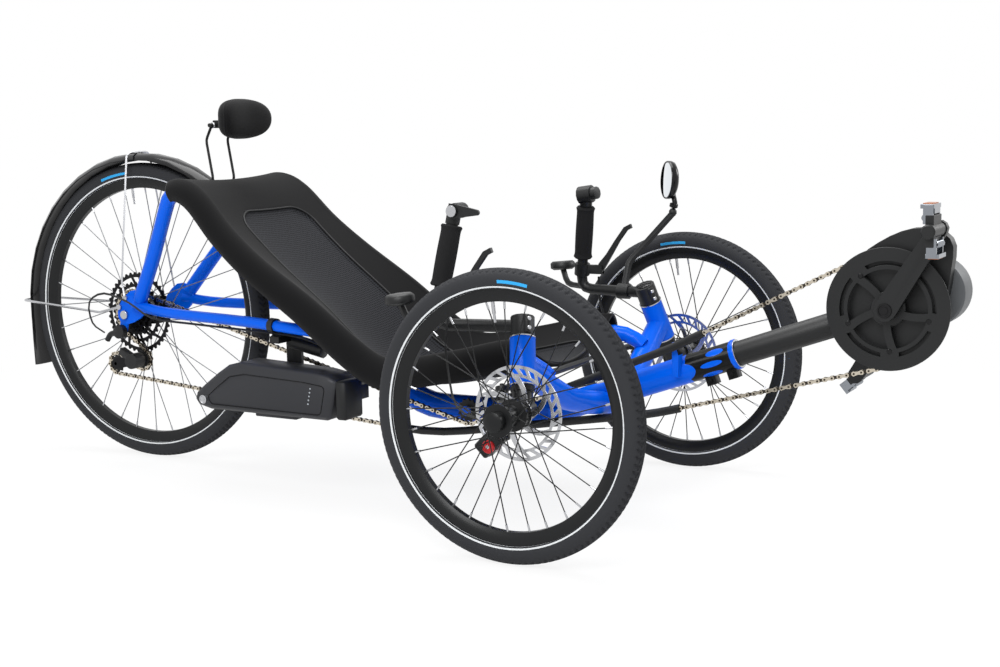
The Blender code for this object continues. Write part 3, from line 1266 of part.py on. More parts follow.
# Fender
def fender():
    """Rear fender with flared flap and two wire stays."""
    rows = []
    half = FENDER_WIDTH / 2
    for k in range(17):
        angle = math.radians(56.0 + (203.0 - 56.0) * k / 16)
        flare = max(0.0, (math.degrees(angle) - 186.0) / 17.0)
        radius = FENDER_RADIUS + 0.012 * flare ** 2
        row = []
        for t in (-1.0, -0.76, -0.32, 0.32, 0.76, 1.0):
            r = radius - 0.013 * abs(t) ** 3 * (1 - 0.6 * flare)
            row.append(REAR_AXLE + vec(r * math.cos(angle), t * half * (1 + 0.15 * flare), r * math.sin(angle)))
        rows.append(row)
    skin = shell("rear_fender", rows, FENDER_SKIN, 1.0)
    finish(skin, "rear_fender", BLACK)
    reach = FENDER_RADIUS + WIRE_RADIUS + FIT_GAP + 0.0002
    y_out = DROPOUT_OUT + WIRE_RADIUS + FIT_GAP
    for name, angle, foot in (
            ("fender_stay_upper", 92.0, vec(0.004, 0.0, 0.036)),
            ("fender_stay_rear", 178.0, vec(-0.014, 0.0, 0.016))):
        a = math.radians(angle)
        up = vec(math.cos(a), 0.0, math.sin(a))
        corner = REAR_AXLE + up * reach - vec(0.0, half + 0.008, 0.0)
        start = REAR_AXLE + foot - vec(0.0, y_out, 0.0)
        knee = REAR_AXLE + up * 0.070 - vec(0.0, y_out, 0.0)
        path = bent([start, knee, corner, flip(corner), flip(knee), flip(start)], 0.014, 3)
        wire = tube(name, path, WIRE_RADIUS, 4)
        wire = clear_of(wire, bpy.data.objects["rear_fender"])
        lugs = []
        for end in (start, flip(start)):
            sign = math.copysign(1.0, end.y)
            lugs.append(rod(
                "lug", vec(end.x, sign * (DROPOUT_OUT + FIT_GAP), end.z),
                vec(end.x, sign * (DROPOUT_OUT + 2 * WIRE_RADIUS), end.z), 0.006, 10))
        finish(join(wire, *lugs), name, STEEL)


# Battery
def battery():
    """Battery case that slides off its base, the base, and the bracket on the chain stay."""
    inner = -BATTERY_INNER
    mid_y = inner - BATTERY_WIDTH / 2
    outline = [
        (-0.828, 0.175), (-0.820, 0.164), (-0.790, 0.157), (-0.508, 0.156), (-0.498, 0.161),
        (-0.485, 0.234), (-0.500, 0.243), (-0.530, 0.248), (-0.712, 0.256), (-0.740, 0.249),
        (-0.768, 0.231), (-0.806, 0.203), (-0.824, 0.188)]
    case = plate("battery_case", outline, BATTERY_WIDTH, upright(mid_y), (), 0.007)
    rail = block("rail", vec(-0.640, mid_y, 0.153), (0.100, BATTERY_WIDTH * 0.5, 0.010), None, 0.002)
    case = join(case, rail)
    groove = block("groove", vec(-0.655, inner, 0.205), (0.400, 0.0160, 0.0300))
    case = cut(case, groove)
    base = block(
        "battery_base", vec(-0.610, inner + 0.0035, 0.205), (0.250, 0.0215, 0.0300 - 2 * FIT_GAP), None, 0.001)
    plug = block("plug", vec(-0.473, mid_y - 0.006, 0.197), (0.024, 0.060, 0.074), None, 0.004)
    plug_arm = block("arm", vec(-0.481, inner - 0.005, 0.205), (0.030, 0.040, 0.028))
    base = join(base, plug, plug_arm)
    base = clear_of(base, case)
    carrier = pivot("battery_pivot", vec(-0.655, mid_y, 0.205))
    finish(case, "battery_case", PLASTIC, carrier)
    finish(base, "battery_base", PLASTIC)
    line = stay_path(hoop_path())
    spot = min(line, key=lambda p: abs(p.x + 0.640))
    near = line.index(spot)
    heading = (line[near + 1] - line[near - 1]).normalized()
    ring = rod("battery_bracket", spot - heading * 0.007, spot + heading * 0.007, 0.0148, 12)
    drop = block("drop", vec(spot.x, -0.121, spot.z - 0.024), (0.022, 0.066, 0.022))
    plate_y = inner + 0.0035 + 0.01075 + FIT_GAP + 0.0035
    plate_down = block("down", vec(spot.x, plate_y, 0.254), (0.036, 0.007, 0.120))
    spine = rod("spine", vec(spot.x, -0.100, 0.293), vec(spot.x + 0.080, -0.100, 0.277), 0.0155, 10)
    holder = join(ring, drop, plate_down, spine)
    low = spot - vec(0.0, 0.0, 0.0165)
    way = rod("way", low - heading * 0.05, low + heading * 0.05, 0.0060, 10)
    holder = clear_of(cut(holder, way), bpy.data.objects["chainstay_right"])
    finish(holder, "battery_bracket", BLACK)


def build():
    """Make every part, then put the middle of the footprint on the origin."""
    front_wheel(-1, "right")
    front_wheel(1, "left")
    rear_wheel()
    chain()
    frame()
    steering()
    boom_group()
    derailleur()
    seat()
    fender()
    battery()
    bpy.context.view_layer.update()
    places = []
    for thing in PARTS.objects:
        if thing.type == "MESH":
            places.extend(thing.matrix_world @ Vector(corner) for corner in thing.bound_box)
    low = min(p.x for p in places)
    high = max(p.x for p in places)
    ROOT.location.x = -(low + high) / 2
    for thing in list(CUTTERS.objects):
        thing.hide_render = True
        thing.display_type = "WIRE"
    bpy.context.view_layer.update()


build()
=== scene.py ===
"""Looks of the recumbent tricycle: smooth wheels, links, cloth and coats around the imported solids.

Metres, in the row frame: +X to the front, +Y to the rider's left, +Z up, ground at zero.
"""
import json
import math

import bmesh
import bpy
import numpy as np
from mathutils import Matrix

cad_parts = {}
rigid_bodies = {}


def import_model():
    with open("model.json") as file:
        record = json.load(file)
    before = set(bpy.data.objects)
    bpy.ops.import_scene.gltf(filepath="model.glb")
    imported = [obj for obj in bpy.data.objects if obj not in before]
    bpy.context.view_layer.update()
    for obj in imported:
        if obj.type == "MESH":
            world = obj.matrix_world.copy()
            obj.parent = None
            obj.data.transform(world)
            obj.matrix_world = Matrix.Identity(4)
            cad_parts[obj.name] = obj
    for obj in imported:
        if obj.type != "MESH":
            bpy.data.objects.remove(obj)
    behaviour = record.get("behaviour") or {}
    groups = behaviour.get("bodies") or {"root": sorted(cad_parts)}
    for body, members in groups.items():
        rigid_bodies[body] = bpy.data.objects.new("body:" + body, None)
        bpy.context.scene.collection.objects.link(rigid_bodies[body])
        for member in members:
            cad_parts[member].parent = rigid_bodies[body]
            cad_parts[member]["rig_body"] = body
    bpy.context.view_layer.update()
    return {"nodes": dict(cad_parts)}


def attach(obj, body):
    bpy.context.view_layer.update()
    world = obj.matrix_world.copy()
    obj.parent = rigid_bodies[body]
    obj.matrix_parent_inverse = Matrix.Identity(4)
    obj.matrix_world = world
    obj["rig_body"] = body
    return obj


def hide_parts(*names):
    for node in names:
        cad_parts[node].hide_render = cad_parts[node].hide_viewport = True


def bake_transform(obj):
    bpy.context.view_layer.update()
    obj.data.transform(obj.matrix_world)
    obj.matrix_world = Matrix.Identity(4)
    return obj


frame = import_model()

# Places of the tricycle, measured from the front axle and moved to the row frame
SHIFT = 0.39973
TRACK = 0.772
FRONT_RADIUS = 0.243
REAR_RADIUS = 0.3195
TYRE_HALF = 0.02
BEAD_ANGLE = math.radians(130.0)
CHAIN_LINE = 0.046
CHAIN_PITCH = 0.0127
BOOM_ANGLE = math.radians(19.6)
CRANK_LENGTH = 0.158
CRANK_TURN = math.radians(58.0)
GUARD_LEVEL = -CHAIN_LINE - 0.0085
CRANK_FACE = -CHAIN_LINE - 0.0147
BATTERY_SIDE = -0.178
GRIP_LENGTH = 0.107
RAIL_RADIUS = 0.015
SPOKE_COUNT = 32
VALVE_ANGLE = math.radians(97.0)
TREAD_STEP = 0.0125
GROOVE_DEPTH = 0.0022
RIB_DEPTH = 0.0014
# White ring, cyan dash and bead to bead on the tyre, in degrees round its section
STRIPE_ANGLE = 118.5
DASH_ANGLE = 92.0
BEAD_SPAN = 260.0


def vec(*parts):
    """Vector of its parts."""
    return np.array(parts)


def unit(vectors):
    """Vectors of length one."""
    return vectors / np.linalg.norm(vectors, axis=-1, keepdims=True)


def at(x, y, z):
    """Point of the tricycle in the row frame."""
    return vec(x + SHIFT, y, z)


def pitch_radius(teeth):
    """Radius on which the chain's pins lie round a toothed wheel."""
    return CHAIN_PITCH / (2 * math.sin(math.pi / teeth))


CRANK = at(0.525, 0.0, 0.404)
BOOM = vec(math.cos(BOOM_ANGLE), 0.0, math.sin(BOOM_ANGLE))
COLLAR = CRANK - BOOM * 0.289
REAR_AXLE = at(-1.093, 0.0, REAR_RADIUS)
LEFT_HUB = at(0.0, TRACK / 2, FRONT_RADIUS)
RIGHT_HUB = at(0.0, -TRACK / 2, FRONT_RADIUS)
MAIN_LEVEL = 0.167
IDLER = at(-0.27, -CHAIN_LINE, MAIN_LEVEL + 0.006)
GUIDE = REAR_AXLE + vec(0.015, -CHAIN_LINE, -0.099)
TENSION = GUIDE + vec(-0.07, 0.0, -0.013)
HEADREST_PIVOT = at(-0.872, 0.0, 0.716)
KINGPIN = unit(vec(-math.tan(math.radians(12.0)), math.tan(math.radians(23.0)), 1.0))
HEAD_MID = RIGHT_HUB + vec(-0.0235, 0.1, 0.0745)
CLAMP_MID = HEAD_MID + KINGPIN * 0.062
BAR_CORNER = CLAMP_MID + vec(-0.158, -0.028, -0.001)
POST_TOP = BAR_CORNER + vec(0.03, 0.032, 0.204)
POST = unit(POST_TOP - BAR_CORNER)
GRIP_LOW = BAR_CORNER + POST * 0.066
CALIPER_MID = at(-0.054, -TRACK / 2 + 0.038, FRONT_RADIUS - 0.054)
ACROSS = vec(0.0, 1.0, 0.0)
UPRIGHT = vec(1.0, 0.0, 1.0)
SQUARE = np.array(((-1, -1), (1, -1), (1, 1), (-1, 1)), float)
SIDES = (("right", 1.0), ("left", -1.0))


# Materials
def colour(code):
    """Linear colour of an sRGB hex value."""
    parts = np.array([int(code[k:k + 2], 16) / 255 for k in (1, 3, 5)])
    linear = np.where(parts <= 0.04045, parts / 12.92, ((parts + 0.055) / 1.055) ** 2.4)
    return (*linear.tolist(), 1.0)


def add_node(tree, kind, settings=None, links=None):
    """Shader node with settings on it and on its inputs, linked from outputs or nodes' first outputs."""
    made = tree.nodes.new("ShaderNode" + kind)
    for key, value in (settings or {}).items():
        if isinstance(key, str) and hasattr(made, key) and key not in made.inputs:
            setattr(made, key, value)
        else:
            made.inputs[key].default_value = value
    for key, source in (links or {}).items():
        tree.links.new(getattr(source, "outputs", [source])[0], made.inputs[key])
    return made


def coat(
        name, hue, rough, metal=0.0, grain_mm=1.2, uneven=0.05, bump_mm=0.0, clear=0.0, sheen=0.0,
        shine=0.5):
    """Coat of one colour whose gloss, and relief where asked, vary with a grain of a real size."""
    made = bpy.data.materials.new(name)
    made.use_nodes = True
    tree = made.node_tree
    shader = tree.nodes["Principled BSDF"]
    for key, value in (
            ("Base Color", colour(hue)), ("Metallic", metal), ("Coat Weight", clear),
            ("Coat Roughness", 0.06), ("Sheen Weight", sheen), ("Specular IOR Level", shine)):
        shader.inputs[key].default_value = value
    made.diffuse_color = colour(hue)
    where = add_node(tree, "TexCoord")
    grain = add_node(
        tree, "TexNoise", {"Scale": 1000.0 / grain_mm, "Detail": 3.0},
        {"Vector": where.outputs["Object"]})
    gloss = add_node(
        tree, "MapRange", {"To Min": max(0.02, rough - uneven), "To Max": min(1.0, rough + uneven)},
        {"Value": grain.outputs["Fac"]})
    tree.links.new(gloss.outputs["Result"], shader.inputs["Roughness"])
    if bump_mm:
        relief = add_node(
            tree, "Bump", {"Strength": 0.6, "Distance": bump_mm / 1000.0},
            {"Height": grain.outputs["Fac"]})
        tree.links.new(relief.outputs["Normal"], shader.inputs["Normal"])
    return made


# Powder coat on aluminium tube, bright blue, under a clear lacquer: sharp soft-box highlights
BLUE_HUE = "#005ADA"
BLUE_LACQUER = coat("blue_lacquer", BLUE_HUE, 0.3, grain_mm=0.6, uneven=0.03, clear=0.1, shine=0.06)
# Black powder coat with a fine orange peel: broad dull highlights
BLACK_POWDER = coat(
    "black_powder_coat", "#141516", 0.44, grain_mm=0.9, uneven=0.06, bump_mm=0.02, shine=0.32)
# Gloss-moulded polycarbonate fender: near-mirror edges on deep black
BLACK_GLOSS = coat(
    "black_polycarbonate", "#09090B", 0.16, grain_mm=2.0, uneven=0.03, clear=0.05, shine=0.25)
# Black anodised aluminium, machined: faint metallic sheen
BLACK_ANODISED = coat("black_anodised", "#161718", 0.34, metal=0.3, grain_mm=0.5, shine=0.3)
# Phosphated tool steel of sprockets: dark grey metal
DARK_STEEL = coat("dark_steel", "#1A1A1C", 0.36, metal=0.8, grain_mm=0.7, uneven=0.08)
# Stainless wire and nickel plate: bright grey metal
BRIGHT_STEEL = coat("bright_steel", "#B9BABD", 0.26, metal=1.0, grain_mm=0.6, uneven=0.06)
# Drawn stainless spoke wire, dull between its highlights
SPOKE_WIRE = coat("spoke_wire", "#77797C", 0.38, metal=0.9, grain_mm=0.6, uneven=0.06)
# Nickel-plated outer links: warm bright metal
CHAIN_NICKEL = coat("chain_nickel", "#C9C0B0", 0.26, metal=1.0, grain_mm=0.5, uneven=0.08)
# Oiled rollers and inner links: dark bronze metal
CHAIN_OILED = coat("chain_oiled", "#3C362E", 0.4, metal=0.9, grain_mm=0.5, uneven=0.08)
# Chromed pedal binding, polished
CHROME = coat("chrome", "#8C9096", 0.14, metal=1.0, grain_mm=1.0, uneven=0.04)
# Copper-washed wear plate of the pedal
COPPER = coat("copper_wash", "#B47757", 0.34, metal=1.0, grain_mm=0.8)
# Die-cast aluminium motor can: even matte grey
CAST_ALLOY = coat("cast_alloy", "#505356", 0.5, metal=0.3, grain_mm=1.1, bump_mm=0.04)
# Glass-filled nylon mouldings: matte dark grey
NYLON = coat("glass_filled_nylon", "#151617", 0.55, grain_mm=0.8, uneven=0.06, bump_mm=0.03, shine=0.3)
# ABS battery shell, spark-eroded texture: matte charcoal
BATTERY_ABS = coat("battery_abs", "#242529", 0.48, grain_mm=0.7, bump_mm=0.03, shine=0.35)
# Foam of the grips: very matte black with open pores
GRIP_FOAM = coat("grip_foam", "#1D1D1E", 0.9, grain_mm=0.8, uneven=0.06, bump_mm=0.25, shine=0.15)
# Knitted polyester over foam: matte black with a slight nap
KNIT = coat("black_knit", "#0F0F10", 0.94, grain_mm=0.9, bump_mm=0.2, sheen=0.08, shine=0.12)
# Anodised red aluminium knob
RED_ANODISED = coat("red_anodised", "#B3151C", 0.34, metal=0.3, grain_mm=0.5)
# Silvered glass
MIRROR_GLASS = coat("silvered_glass", "#E6EAEE", 0.03, metal=1.0, grain_mm=5.0, uneven=0.01)
# Status lamps on the battery, pale diffusing plastic
LAMP_PLASTIC = coat("lamp_plastic", "#9AA0A6", 0.4, grain_mm=1.0, uneven=0.04)


def tyre_rubber(name, dash):
    """Rubber with a white ring near each bead and a plain cyan dash, placed on the UV map."""
    made = coat(name, "#292A2D", 0.74, grain_mm=1.0, uneven=0.06, bump_mm=0.05, shine=0.22)
    tree = made.node_tree
    shader = tree.nodes["Principled BSDF"]
    uv = add_node(tree, "UVMap", {"uv_map": "around"})
    split = add_node(tree, "SeparateXYZ", {}, {"Vector": uv.outputs["UV"]})
    side = add_node(tree, "Math", {"operation": "SUBTRACT", 1: 0.5}, {0: split.outputs["Y"]})
    away = add_node(tree, "Math", {"operation": "ABSOLUTE"}, {0: side})
    marks = []
    for source, middle, half in (
            (away, STRIPE_ANGLE / BEAD_SPAN, 4.2 / BEAD_SPAN),
            (away, DASH_ANGLE / BEAD_SPAN, 7.5 / BEAD_SPAN),
            (split.outputs["X"], dash / 360.0, 7.0 / 360.0)):
        marks.append(add_node(tree, "Math", {"operation": "COMPARE", 1: middle, 2: half}, {0: source}))
    ring, stripe, turn = marks
    mark = add_node(tree, "Math", {"operation": "MULTIPLY"}, {0: stripe, 1: turn})
    blue = add_node(
        tree, "Mix", {"data_type": "RGBA", 6: colour("#292A2D"), 7: colour("#2E9AD6")},
        {0: mark})
    white = add_node(
        tree, "Mix", {"data_type": "RGBA", 7: colour("#D2D5D7")},
        {0: ring, 6: blue.outputs[2]})
    tree.links.new(white.outputs[2], shader.inputs["Base Color"])
    return made


def sling_cloth():
    """Black knit border with a dark grey open-mesh panel, placed on the UV map in metres."""
    made = coat(
        "sling_cloth", "#0F0F10", 0.94, grain_mm=0.9, uneven=0.04, bump_mm=0.2, sheen=0.06, shine=0.12)
    tree = made.node_tree
    shader = tree.nodes["Principled BSDF"]
    uv = add_node(tree, "UVMap", {"uv_map": "cloth"})
    panel = add_node(tree, "Attribute", {"attribute_name": "panel"})
    # mesh eyes are 3 mm apart, drawn at 5 mm so that they show
    eyes = add_node(
        tree, "TexVoronoi", {"feature": "F1", "Scale": 1000.0 / 5.0, "Randomness": 0.15},
        {"Vector": uv.outputs["UV"]})
    hole = add_node(
        tree, "MapRange", {"From Min": 0.3, "From Max": 0.42, "To Min": 0.0, "To Max": 1.0},
        {"Value": eyes.outputs["Distance"]})
    thread = add_node(
        tree, "Mix", {"data_type": "RGBA", 6: colour("#0C0C0D"), 7: colour("#2B2C30")},
        {0: hole.outputs["Result"]})
    both = add_node(
        tree, "Mix", {"data_type": "RGBA", 6: colour("#0F0F10")},
        {0: panel.outputs["Fac"], 7: thread.outputs[2]})
    tree.links.new(both.outputs[2], shader.inputs["Base Color"])
    return made


def beam_lacquer():
    """Blue lacquer with a black sleeve at the front end, scooped behind, with three blue windows."""
    made = coat("beam_lacquer", BLUE_HUE, 0.3, grain_mm=0.6, uneven=0.03, clear=0.1, shine=0.06)
    tree = made.node_tree
    shader = tree.nodes["Principled BSDF"]
    where = add_node(tree, "TexCoord")
    rise = np.cross(BOOM, ACROSS) * -1.0
    ways = []
    for way in (BOOM, rise):
        ways.append(add_node(
            tree, "VectorMath", {"operation": "DOT_PRODUCT", 1: tuple(way)},
            {0: where.outputs["Object"]}))
    start = float(COLLAR @ BOOM)
    level = float(COLLAR @ rise)

    def oval(along, height, half_long, half_high):
        """One inside an ellipse on the beam's side, zero outside."""
        parts = []
        for way, middle, half in (
                (ways[0], start + along, half_long), (ways[1], level + height, half_high)):
            off = add_node(
                tree, "Math", {"operation": "SUBTRACT", 1: middle}, {0: way.outputs["Value"]})
            part = add_node(tree, "Math", {"operation": "DIVIDE", 1: half}, {0: off})
            parts.append(add_node(tree, "Math", {"operation": "POWER", 1: 2.0}, {0: part}))
        total = add_node(tree, "Math", {"operation": "ADD"}, {0: parts[0], 1: parts[1]})
        return add_node(tree, "Math", {"operation": "LESS_THAN", 1: 1.0}, {0: total})

    dark = add_node(
        tree, "Math", {"operation": "COMPARE", 1: start - 0.052, 2: 0.042},
        {0: ways[0].outputs["Value"]})
    scoop = oval(-0.118, 0.004, 0.04, 0.018)
    windows = [
        oval(-0.046, 0.003, 0.021, 0.005), oval(-0.036, -0.015, 0.017, 0.0052),
        oval(-0.052, 0.02, 0.019, 0.0036)]
    for window in windows + [scoop]:
        dark = add_node(
            tree, "Math", {"operation": "SUBTRACT", "use_clamp": True},
            {0: dark, 1: window})
    mixed = add_node(
        tree, "Mix", {"data_type": "RGBA", 6: colour(BLUE_HUE), 7: colour("#131415")},
        {0: dark})
    tree.links.new(mixed.outputs[2], shader.inputs["Base Color"])
    return made


# Shapes as arrays
def grid(points, wrap_rows=False, wrap_columns=False):
    """Corner points of a grid as one list, and the four corners of each of its cells."""
    rows, columns = points.shape[:2]
    index = np.arange(rows * columns).reshape(rows, columns)
    if wrap_rows:
        index = np.vstack((index, index[:1]))
    if wrap_columns:
        index = np.hstack((index, index[:, :1]))
    cells = np.stack((index[:-1, :-1], index[:-1, 1:], index[1:, 1:], index[1:, :-1]), -1)
    return points.reshape(-1, 3), cells.reshape(-1, 4)


def merged(shells):
    """One list of points and cells from several."""
    counts = np.cumsum([0] + [len(points) for points, _ in shells])
    points = np.concatenate([points for points, _ in shells])
    cells = np.concatenate([cells + start for (_, cells), start in zip(shells, counts)])
    return points, cells


def full_turn(count):
    """Angles at equal steps of one turn."""
    return np.linspace(0.0, math.tau, count, endpoint=False)


def polar(radius, angle, y=0.0):
    """Points at a radius and an angle in the upright plane, moved sideways by y."""
    return np.stack(np.broadcast_arrays(radius * np.cos(angle), y, radius * np.sin(angle)), -1)


def circle(angle, first, second):
    """Unit circles at some angles, each in the plane of two unit vectors."""
    return np.cos(angle)[:, None] * first[..., None, :] + np.sin(angle)[:, None] * second[..., None, :]


def capped(points, path):
    """Rings of points along a path, with its two ends repeated to close them."""
    low, high = (np.repeat(path[end, None], points.shape[1], 1) for end in (slice(1), slice(-1, None)))
    return np.concatenate((low, points, high))


def run_length(path):
    """Distance along a path at each of its points."""
    return np.concatenate(([0.0], np.cumsum(np.linalg.norm(np.diff(path, axis=0), axis=1))))


def eased(points, per_span):
    """Cardinal spline through points: a cubic on each span from its two ends and their neighbours."""
    points = np.asarray(points, float)
    ends = np.vstack((2 * points[0] - points[1], points, 2 * points[-1] - points[-2]))
    t = (np.arange(per_span) / per_span)[None, :, None]
    a, b, c, d = (ends[k:len(ends) - 3 + k, None, :] for k in range(4))
    spans = b + (c - a) * t / 2 + (2 * a - 5 * b + 4 * c - d) * t ** 2 / 2
    spans = spans + (3 * b - a - 3 * c + d) * t ** 3 / 2
    return np.vstack((spans.reshape(-1, 3), points[-1:]))


def rounded(points, radius, steps=8):
    """Path of straight runs whose corners are arcs of a quadratic curve."""
    path = [points[:1]]
    t = np.linspace(0.0, 1.0, steps + 1)[:, None]
    for before, corner, after in zip(points, points[1:], points[2:]):
        back = before - corner
        ahead = after - corner
        angle = math.acos(np.clip(unit(back) @ unit(ahead), -1, 1))
        reach = min(
            radius / math.tan(angle / 2), 0.48 * np.linalg.norm(back), 0.48 * np.linalg.norm(ahead))
        start = corner + unit(back) * reach
        end = corner + unit(ahead) * reach
        path.append(start * (1 - t) ** 2 + corner * 2 * t * (1 - t) + end * t ** 2)
    path.append(points[-1:])
    return np.vstack(path)


def sweep(path, radius, sides=12, closed=False):
    """Round section of a radius carried along a path, its ends drawn in to a point in the middle."""
    if closed:
        heading = unit(np.roll(path, -1, 0) - np.roll(path, 1, 0))
    else:
        heading = unit(np.gradient(path, axis=0))
    first = np.cross(heading[0], (0.3, 0.5, 0.81))
    sideways = [unit(first)]
    for way in heading[1:]:
        last = sideways[-1]
        sideways.append(unit(last - way * (last @ way)))
    sideways = np.array(sideways)
    upward = np.cross(heading, sideways)
    size = np.broadcast_to(np.asarray(radius, float), (len(path),))[:, None, None]
    ring = circle(full_turn(sides), sideways, upward)
    points = path[:, None] + ring * size
    if not closed:
        points = capped(points, path)
    return grid(points, wrap_rows=closed, wrap_columns=True)


def bar(start, end, radius, sides=16):
    """Straight round bar with a small chamfer at each end."""
    way = unit(end - start)
    lip = min(radius * 0.2, np.linalg.norm(end - start) * 0.2)
    path = np.array((start, start + way * lip, end - way * lip, end))
    return sweep(path, np.array((radius - lip, radius, radius, radius - lip)), sides)


def lathe(profile, centre, axis, steps=96, wrap=False):
    """Profile of (radius, along) points turned round an axis."""
    profile = np.asarray(profile, float)
    axis = unit(axis)
    helper = vec(1.0, 0.0, 0.0) if abs(axis[0]) < 0.9 else vec(0.0, 0.0, 1.0)
    first = unit(np.cross(axis, helper))
    second = np.cross(axis, first)
    round_way = circle(full_turn(steps), first, second)
    points = centre + profile[None, :, :1] * round_way[:, None] + profile[None, :, 1:] * axis
    return grid(points, wrap_rows=True, wrap_columns=wrap)


def band(low, high, first, last, centre, axis, steps):
    """Ring of a rectangular section between two radii."""
    return lathe([(low, first), (high, first), (high, last), (low, last)], centre, axis, steps, True)


def slab(centre, size, turn=None):
    """Box of three sizes with its corners drawn in a little, on a grid of four rings."""
    half = np.asarray(size, float) / 2
    lip = 0.12 * half.min()
    rows = []
    for z, inset in ((-half[2], lip), (-half[2] + lip, 0.0), (half[2] - lip, 0.0), (half[2], lip)):
        ring = np.column_stack((SQUARE * (half[:2] - inset), np.full(4, z)))
        rows.append(ring)
    low = np.tile((0.0, 0.0, -half[2]), (4, 1))
    high = np.tile((0.0, 0.0, half[2]), (4, 1))
    points = np.stack((low, *rows, high))
    if turn is not None:
        points = points @ turn.T
    return grid(points + centre, wrap_columns=True)


def shown(name, data):
    """Object of a name with its data, in the scene."""
    made = bpy.data.objects.new(name, data)
    bpy.context.scene.collection.objects.link(made)
    return made


def coated(name, mesh, finish, smooth):
    """Object of a mesh with a finish, smooth but for edges sharper than an angle."""
    mesh.materials.append(finish)
    mesh.shade_smooth()
    mesh.set_sharp_from_angle(angle=math.radians(smooth))
    return shown(name, mesh)


def piece(name, shape, finish, body, node=None, smooth=40.0, maps=None):
    """Mesh object from points and cells, welded, facing out, on its body and in place of its solid."""
    points, cells = shape
    mesh = bpy.data.meshes.new(name)
    mesh.from_pydata(points.tolist(), [], cells.tolist())
    for key, values in (maps or {}).items():
        if values.shape[1] == 2:
            layer = mesh.uv_layers.new(name=key)
            corner = np.empty(len(mesh.loops), np.int32)
            mesh.loops.foreach_get("vertex_index", corner)
            layer.data.foreach_set("uv", values[corner].astype(np.float32).ravel())
        else:
            layer = mesh.attributes.new(key, "FLOAT", "POINT")
            layer.data.foreach_set("value", values.astype(np.float32).ravel())
    shape = bmesh.new()
    shape.from_mesh(mesh)
    bmesh.ops.remove_doubles(shape, verts=shape.verts, dist=0.000002)
    bmesh.ops.dissolve_degenerate(shape, edges=shape.edges, dist=0.000002)
    bmesh.ops.recalc_face_normals(shape, faces=shape.faces)
    shape.to_mesh(mesh)
    shape.free()
    made = coated(name, mesh, finish, smooth)
    if body:
        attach(made, body)
    if node:
        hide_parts(node)
    return made


def dressed(node, finish, smooth=50.0, edge=0.0006):
    """Welded copy of a solid with its edges broken by a small chamfer, shown in its place."""
    source = frame["nodes"][node]
    shape = bmesh.new()
    shape.from_mesh(source.data)
    bmesh.ops.remove_doubles(shape, verts=shape.verts, dist=0.000005)
    bmesh.ops.dissolve_limit(shape, angle_limit=math.radians(0.2), verts=shape.verts, edges=shape.edges)
    mesh = bpy.data.meshes.new(node + "_shown")
    shape.to_mesh(mesh)
    shape.free()
    made = coated(node + "_shown", mesh, finish, smooth)
    if edge:
        step = made.modifiers.new("Edge", "BEVEL")
        step.width = edge
        step.segments = 2
        step.limit_method = "ANGLE"
        step.angle_limit = math.radians(smooth)
    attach(made, source["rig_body"])
    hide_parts(node)


# Wheels
def tyre(name, hub, radius, body, node, dash):
    """Section (half-width, crown) on an arc to each bead, turned; tread grooves lower its crown."""
    blocks = int(round(math.tau * radius / TREAD_STEP))
    turns = np.arange(blocks * 6) / (blocks * 6)
    spans = ((-130.0, -58.0, 9), (-52.0, 52.0, 19), (58.0, 130.0, 9))
    section = np.radians(np.concatenate([np.linspace(*span) for span in spans]))
    u, s = np.meshgrid(turns, section, indexing="ij")
    off = np.abs(np.degrees(s))
    lean = np.where(off < 28.0, off / 22.0, 1.27 - off / 60.0)
    groove = (np.mod(u * blocks + lean, 1.0) < 0.3) & (off > 9.0) & (off < 50.0)
    rib = np.isclose(off, 5.7778, atol=1.0)
    depth = GROOVE_DEPTH * groove + RIB_DEPTH * rib
    size = TYRE_HALF - depth
    reach = radius - TYRE_HALF + size * np.cos(s)
    angle = math.tau * u
    points = hub + polar(reach, angle, size * np.sin(s))
    shape = grid(points, wrap_rows=True, wrap_columns=True)
    flat = np.stack((u, 0.5 + np.degrees(s) / BEAD_SPAN), -1).reshape(-1, 2)
    piece(
        name, shape, tyre_rubber(name + "_rubber", dash), body, node, 60.0,
        {"around": flat})


def spokes(hub, flange_y, flange, inner, count, radius=0.00105):
    """Crossed spokes from two flanges to the rim, each a six-sided bar, and their nipples."""
    wires = []
    ends = []
    for k in range(count):
        side = flange_y[k % 2]
        lead = 1 if (k // 2) % 2 else -1
        rim = math.tau * k / count
        root = rim + lead * math.radians(62.0)
        low = flange - 0.0035
        start = hub + polar(low, root, side + lead * 0.0017)
        reach = inner + 0.002
        end = hub + polar(reach, rim, math.copysign(0.003, side))
        way = unit(end - start)
        wires.append(sweep(np.array((start, end)), radius, 6))
        ends.append(sweep(np.array((end - way * 0.014, end)), 0.0019, 6))
    return merged(wires), merged(ends)


